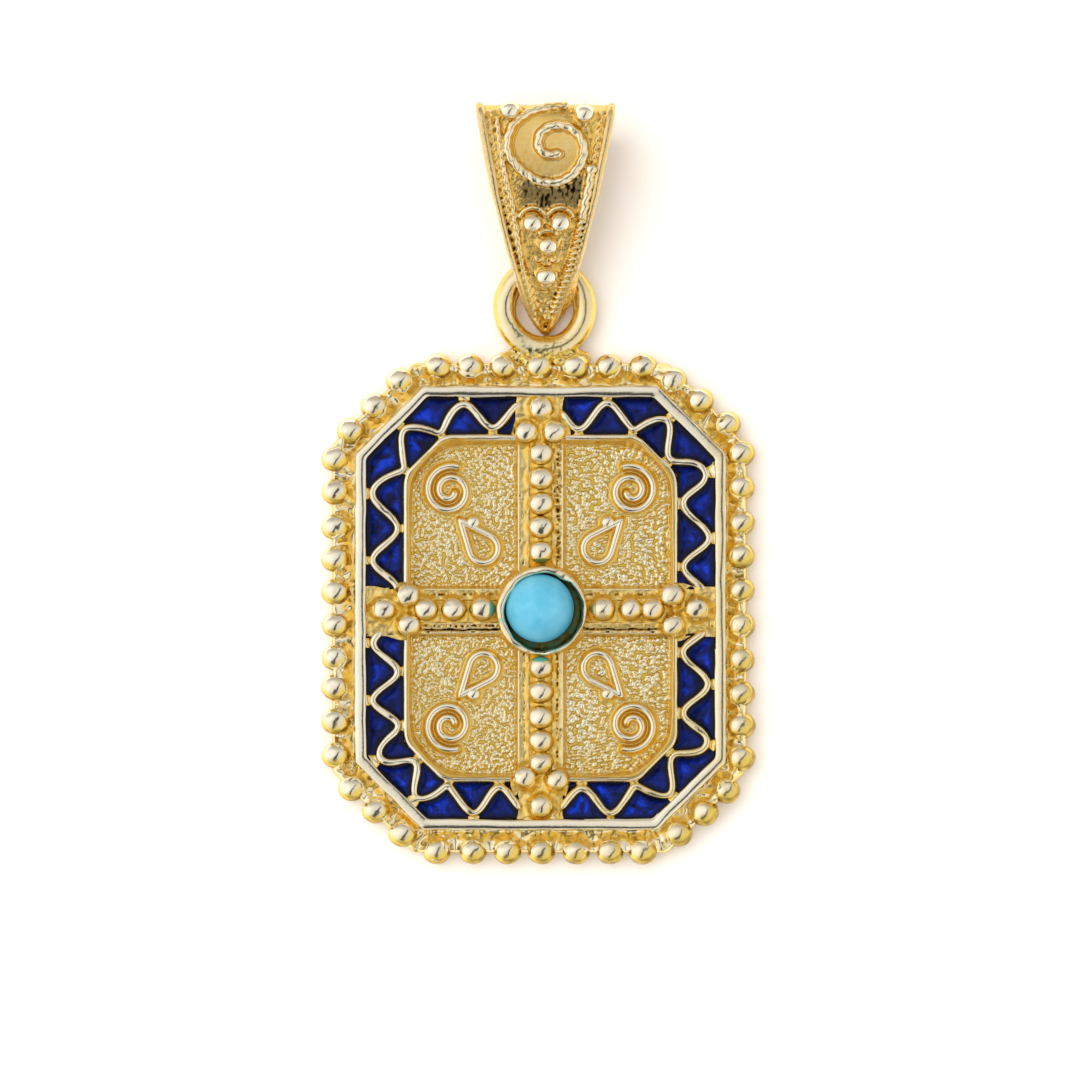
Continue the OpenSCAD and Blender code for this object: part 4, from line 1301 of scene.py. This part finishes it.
def work_bail(front):
    """Roughens the front and paints it: a smooth band under the scroll painted with a dark reflection,
    streaked with black, a calm field inside the scroll, painted highlights on the wires, painted shade round
    the granules and a dull tip."""
    calm_peak = 1.17
    at = point_array(front)
    x, y, _ = at.T
    facing, outward = face_at(y)
    height = ((at[:, 1:] - facing) * outward).sum(1)
    on_wires = fade(height, 0.08, 0.2)
    from_edge = bail_half_width(y) - np.abs(x - ring_x)
    dark_reflection_band = fade(y, 23.3, 23.6) * (1 - fade(y, 25.2, 25.6)) * (1 - fade(np.abs(x - 0.7), 1.6, 2.0))
    # The peak lies above the caps further down, so the field stays full until a little past 1.9 mm
    scroll_field = calm_peak - calm_peak * fade(np.hypot(x - field_x, y - field_y), 1.9, 2.3)
    calm = np.minimum(np.maximum(dark_reflection_band, scroll_field), 1.1)
    beside = fade(y, 19.5, 21.5) * (1 - fade(from_edge, 1.1, 1.4))
    set_attribute(front, "worked", 0.3 * on_wires + (1 - 0.85 * calm) * (1 - 0.6 * beside) * (1 - on_wires))
    # The field inside the scroll sits a little askew, higher on the right
    at[:, 2] += 0.07 * (x - field_x) * np.minimum(scroll_field, 1.0)
    front.data.vertices.foreach_set("co", (at * MM).ravel())
    roughened(front, 0.26, 0.075, 0.4, 40.0, cast)

    slope = vertex_array(front, "normal")[:, 2]
    x, y, _ = point_array(front).T
    plane = np.column_stack([x, y])
    from_edge = bail_half_width(y) - np.abs(x - ring_x)
    round_grains = np.min([np.hypot(x - gx, y - gy) - r for gx, gy, r, _ in bail_granules], axis=0)
    # Brown painted over the band in streaks as a dark reflection, painted shade round the granules, patches
    # at the tip and brown along the side edges
    streaks = fade(uneven(plane * (1, 0.45), 0.1, 45, 1) + 0.3 * uneven(plane, 0.4, 46, 2), -0.45, 0.45)
    tip = (1 - fade(y, 19.0, 23.0)) * fade(uneven(plane, 0.3, 49, 2), -0.2, 0.6)
    soot_and_shade = (dark_reflection_band * streaks + 0.15 * (1 - fade(round_grains, 0.05, 0.3)) + 0.45 * tip) * (1 - on_wires)
    soot_and_shade += 0.42 * (1 - fade(from_edge, 0.35, 0.6)) * fade(y, 19.0, 22.0)
    field = scroll_field / calm_peak * (1 - on_wires)
    # Painted highlight on the upward-facing sides of the wires, stronger towards the top and away from the
    # edges and the granules
    wire_highlight = fade(height, 0.14, 0.3) * fade(slope, 0.45, 0.85) * (0.4 + 0.6 * fade(y, 19.0, 23.0))
    wire_highlight *= (0.4 + 0.6 * fade(from_edge, 0.4, 0.7)) * (0.45 + 0.55 * fade(round_grains, 0.1, 0.45))
    wear_and_painted_light(front, 0.1 + 0.2 * dark_reflection_band + 0.1 * field + 0.65 * wire_highlight, wheel=0.4,
            dirt_and_shade=0.85 * (1 - field), soot_and_shade=soot_and_shade)


def make_bail():
    parts, balls = bail_front_parts()
    front = joined("bail_front", parts)
    fused(front, 0.062, 2, cast)
    work_bail(front)
    keep(front, "gold", "bail")
    grains = joined("bail_granules", balls)
    shine_by_slope(grains, 0.1, 0.5, 0.4)
    keep(grains, "gold", "bail")
    back = strip_loft("bail_back", top_of_fold + 6, len(bail_line), 9, strip_t - 0.03, cast)
    keep(back, "gold", "bail")


make_tray()
make_sheet()
make_beads()
for corner_signs, corner_wave in make_cloisons().items():
    make_enamel(corner_signs, corner_wave)
make_cross()
for index, corner_signs in enumerate(quarter_names):
    make_panel(index, corner_signs)
make_bezel()
make_stone()
make_ring()
make_bail()

for piece, slot, node in pieces:
    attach(piece, "root")
    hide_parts(node)


# Floor, light and camera

def make_floor():
    """A sheet of white card under the pendant."""
    material = new_material("matt white card")[0]
    finish_material(material, {"Base Color": linear("#fcf7f1"), "Roughness": 0.9, "Specular IOR Level": 0.1})
    corners = [(-1500, -1500), (1500, -1500), (1500, 1500), (-1500, 1500)]
    make_piece("white_card", at_height(corners, -0.05), [[0, 1, 2, 3]], material)


def mirrored_place(tree):
    """u and v for each direction of the surroundings: 1.3 times the X and Y of the normal of the metal that
    mirrors it to straight up."""
    seen = add_node(tree, "ShaderNodeTexCoord", output="Generated")
    x, y, z = add_node(tree, "ShaderNodeSeparateXYZ", {"Vector": seen}).node.outputs
    above = add_node(tree, "ShaderNodeMath", (z, 1.0), operation="ADD")
    lift = add_node(tree, "ShaderNodeMath", (above, 0.05), operation="MAXIMUM")
    double = add_node(tree, "ShaderNodeMath", (lift, 2.0), operation="MULTIPLY")
    shrink = add_node(tree, "ShaderNodeMath", (double,), operation="INVERSE_SQRT")
    scale = add_node(tree, "ShaderNodeMath", (shrink, 1.3), operation="MULTIPLY")
    return [add_node(tree, "ShaderNodeMath", (axis, scale), operation="MULTIPLY") for axis in (x, y)]


def make_world():
    """Soft boxes all round and above, laid out by the slope of the metal that mirrors them to straight up.
    A narrow dark gap runs between the left and the right box."""
    world = bpy.data.worlds.new("soft boxes")
    bpy.context.scene.world = world
    world.use_nodes = True
    tree = world.node_tree
    tree.nodes.clear()
    u, v = mirrored_place(tree)

    # The gap leans: s is across it and t along it
    right_of = add_node(tree, "ShaderNodeMath", (u, 0.07), operation="SUBTRACT")
    above = add_node(tree, "ShaderNodeMath", (v, 0.12), operation="ADD")
    across_u, across_v, along_u, along_v = [
        add_node(tree, "ShaderNodeMath", factors, operation="MULTIPLY")
        for factors in ((right_of, 0.884), (above, 0.468), (right_of, 0.468), (above, 0.884))]
    s = add_node(tree, "ShaderNodeMath", (across_u, across_v), operation="SUBTRACT")
    t = add_node(tree, "ShaderNodeMath", (along_u, along_v), operation="ADD")
    aside = add_node(tree, "ShaderNodeMath", (s,), operation="ABSOLUTE")

    # Smooth steps of the light, each with what it goes by, where it starts and ends, and its values there
    high, low, left_across, left_up, right_across, right_up, width, gap_foot, gap_head = [
        add_node(tree, "ShaderNodeMapRange", limits, interpolation_type="SMOOTHSTEP")
        for limits in ((v, 0.15, 0.9), (v, -0.8, -0.64, 0.5, 1.0), (s, -0.1, -0.6), (v, 0.85, 0.0),
                       (s, 0.1, 0.7), (v, 0.7, -0.2), (t, -0.5, 0.5, 0.1, 0.035), (t, -0.56, -0.5),
                       (t, 0.68, 0.48))]
    centre = add_node(tree, "ShaderNodeMapRange", (high, 0.0, 1.0, 0.82, 0.5),
                      interpolation_type="SMOOTHSTEP")
    soft_edge = add_node(tree, "ShaderNodeMath", (width, 0.03), operation="ADD")
    in_gap = add_node(tree, "ShaderNodeMapRange", (aside, width, soft_edge, 1.0, 0.0),
                      interpolation_type="SMOOTHSTEP")

    light = centre
    for across, up, strength in ((left_across, left_up, 0.34), (right_across, right_up, 0.18)):
        box = add_node(tree, "ShaderNodeMath", (across, up), operation="MULTIPLY")
        light = add_node(tree, "ShaderNodeMath", (box, strength, light), operation="MULTIPLY_ADD")
    light = add_node(tree, "ShaderNodeMath", (light, low), operation="MULTIPLY")
    gap = 0.94
    for part in (gap_foot, gap_head, in_gap):
        gap = add_node(tree, "ShaderNodeMath", (part, gap), operation="MULTIPLY")
    open_share = add_node(tree, "ShaderNodeMath", (1.0, gap), operation="SUBTRACT")
    light = add_node(tree, "ShaderNodeMath", (light, open_share), operation="MULTIPLY")

    tint = add_node(tree, "ShaderNodeMix", {0: high, 6: linear("#ffffff"), 7: linear("#fbf4ec")}, 2,
                    data_type="RGBA")
    background = add_node(tree, "ShaderNodeBackground", {"Color": tint, "Strength": light})
    add_node(tree, "ShaderNodeOutputWorld", {"Surface": background})


def make_floor_light():
    """A large lamp to the upper left that brings the card up to white and throws a soft shadow."""
    lamp = bpy.data.lights.new("card light", "AREA")
    lamp.shape = "DISK"
    lamp.size = 1.5
    lamp.energy = 13.4
    holder = bpy.data.objects.new("card_light", lamp)
    holder.location = (-0.35, 0.25, 1.1)
    holder.rotation_euler = (-Vector(holder.location)).to_track_quat("-Z", "Y").to_euler()
    holder.visible_glossy = False
    bpy.context.scene.collection.objects.link(holder)


def make_camera():
    """Straight above, 0.9 m up, with the frame 63.53 mm wide as on the photograph."""
    camera_z, pendant_z, frame_width = 0.9, 0.0015, 0.06353
    lens = bpy.data.cameras.new("camera")
    camera = bpy.data.objects.new("camera", lens)
    camera.location = (-0.03 * MM, 4.0 * MM, camera_z)
    lens.sensor_width = 36.0
    lens.lens = lens.sensor_width * (camera_z - pendant_z) / frame_width
    lens.clip_start = 0.05
    lens.clip_end = 10.0
    bpy.context.scene.collection.objects.link(camera)
    bpy.context.scene.camera = camera


make_floor()
make_world()
make_floor_light()
make_camera()
bpy.context.scene.view_settings.view_transform = "Standard"
bpy.context.scene.view_settings.look = "None"
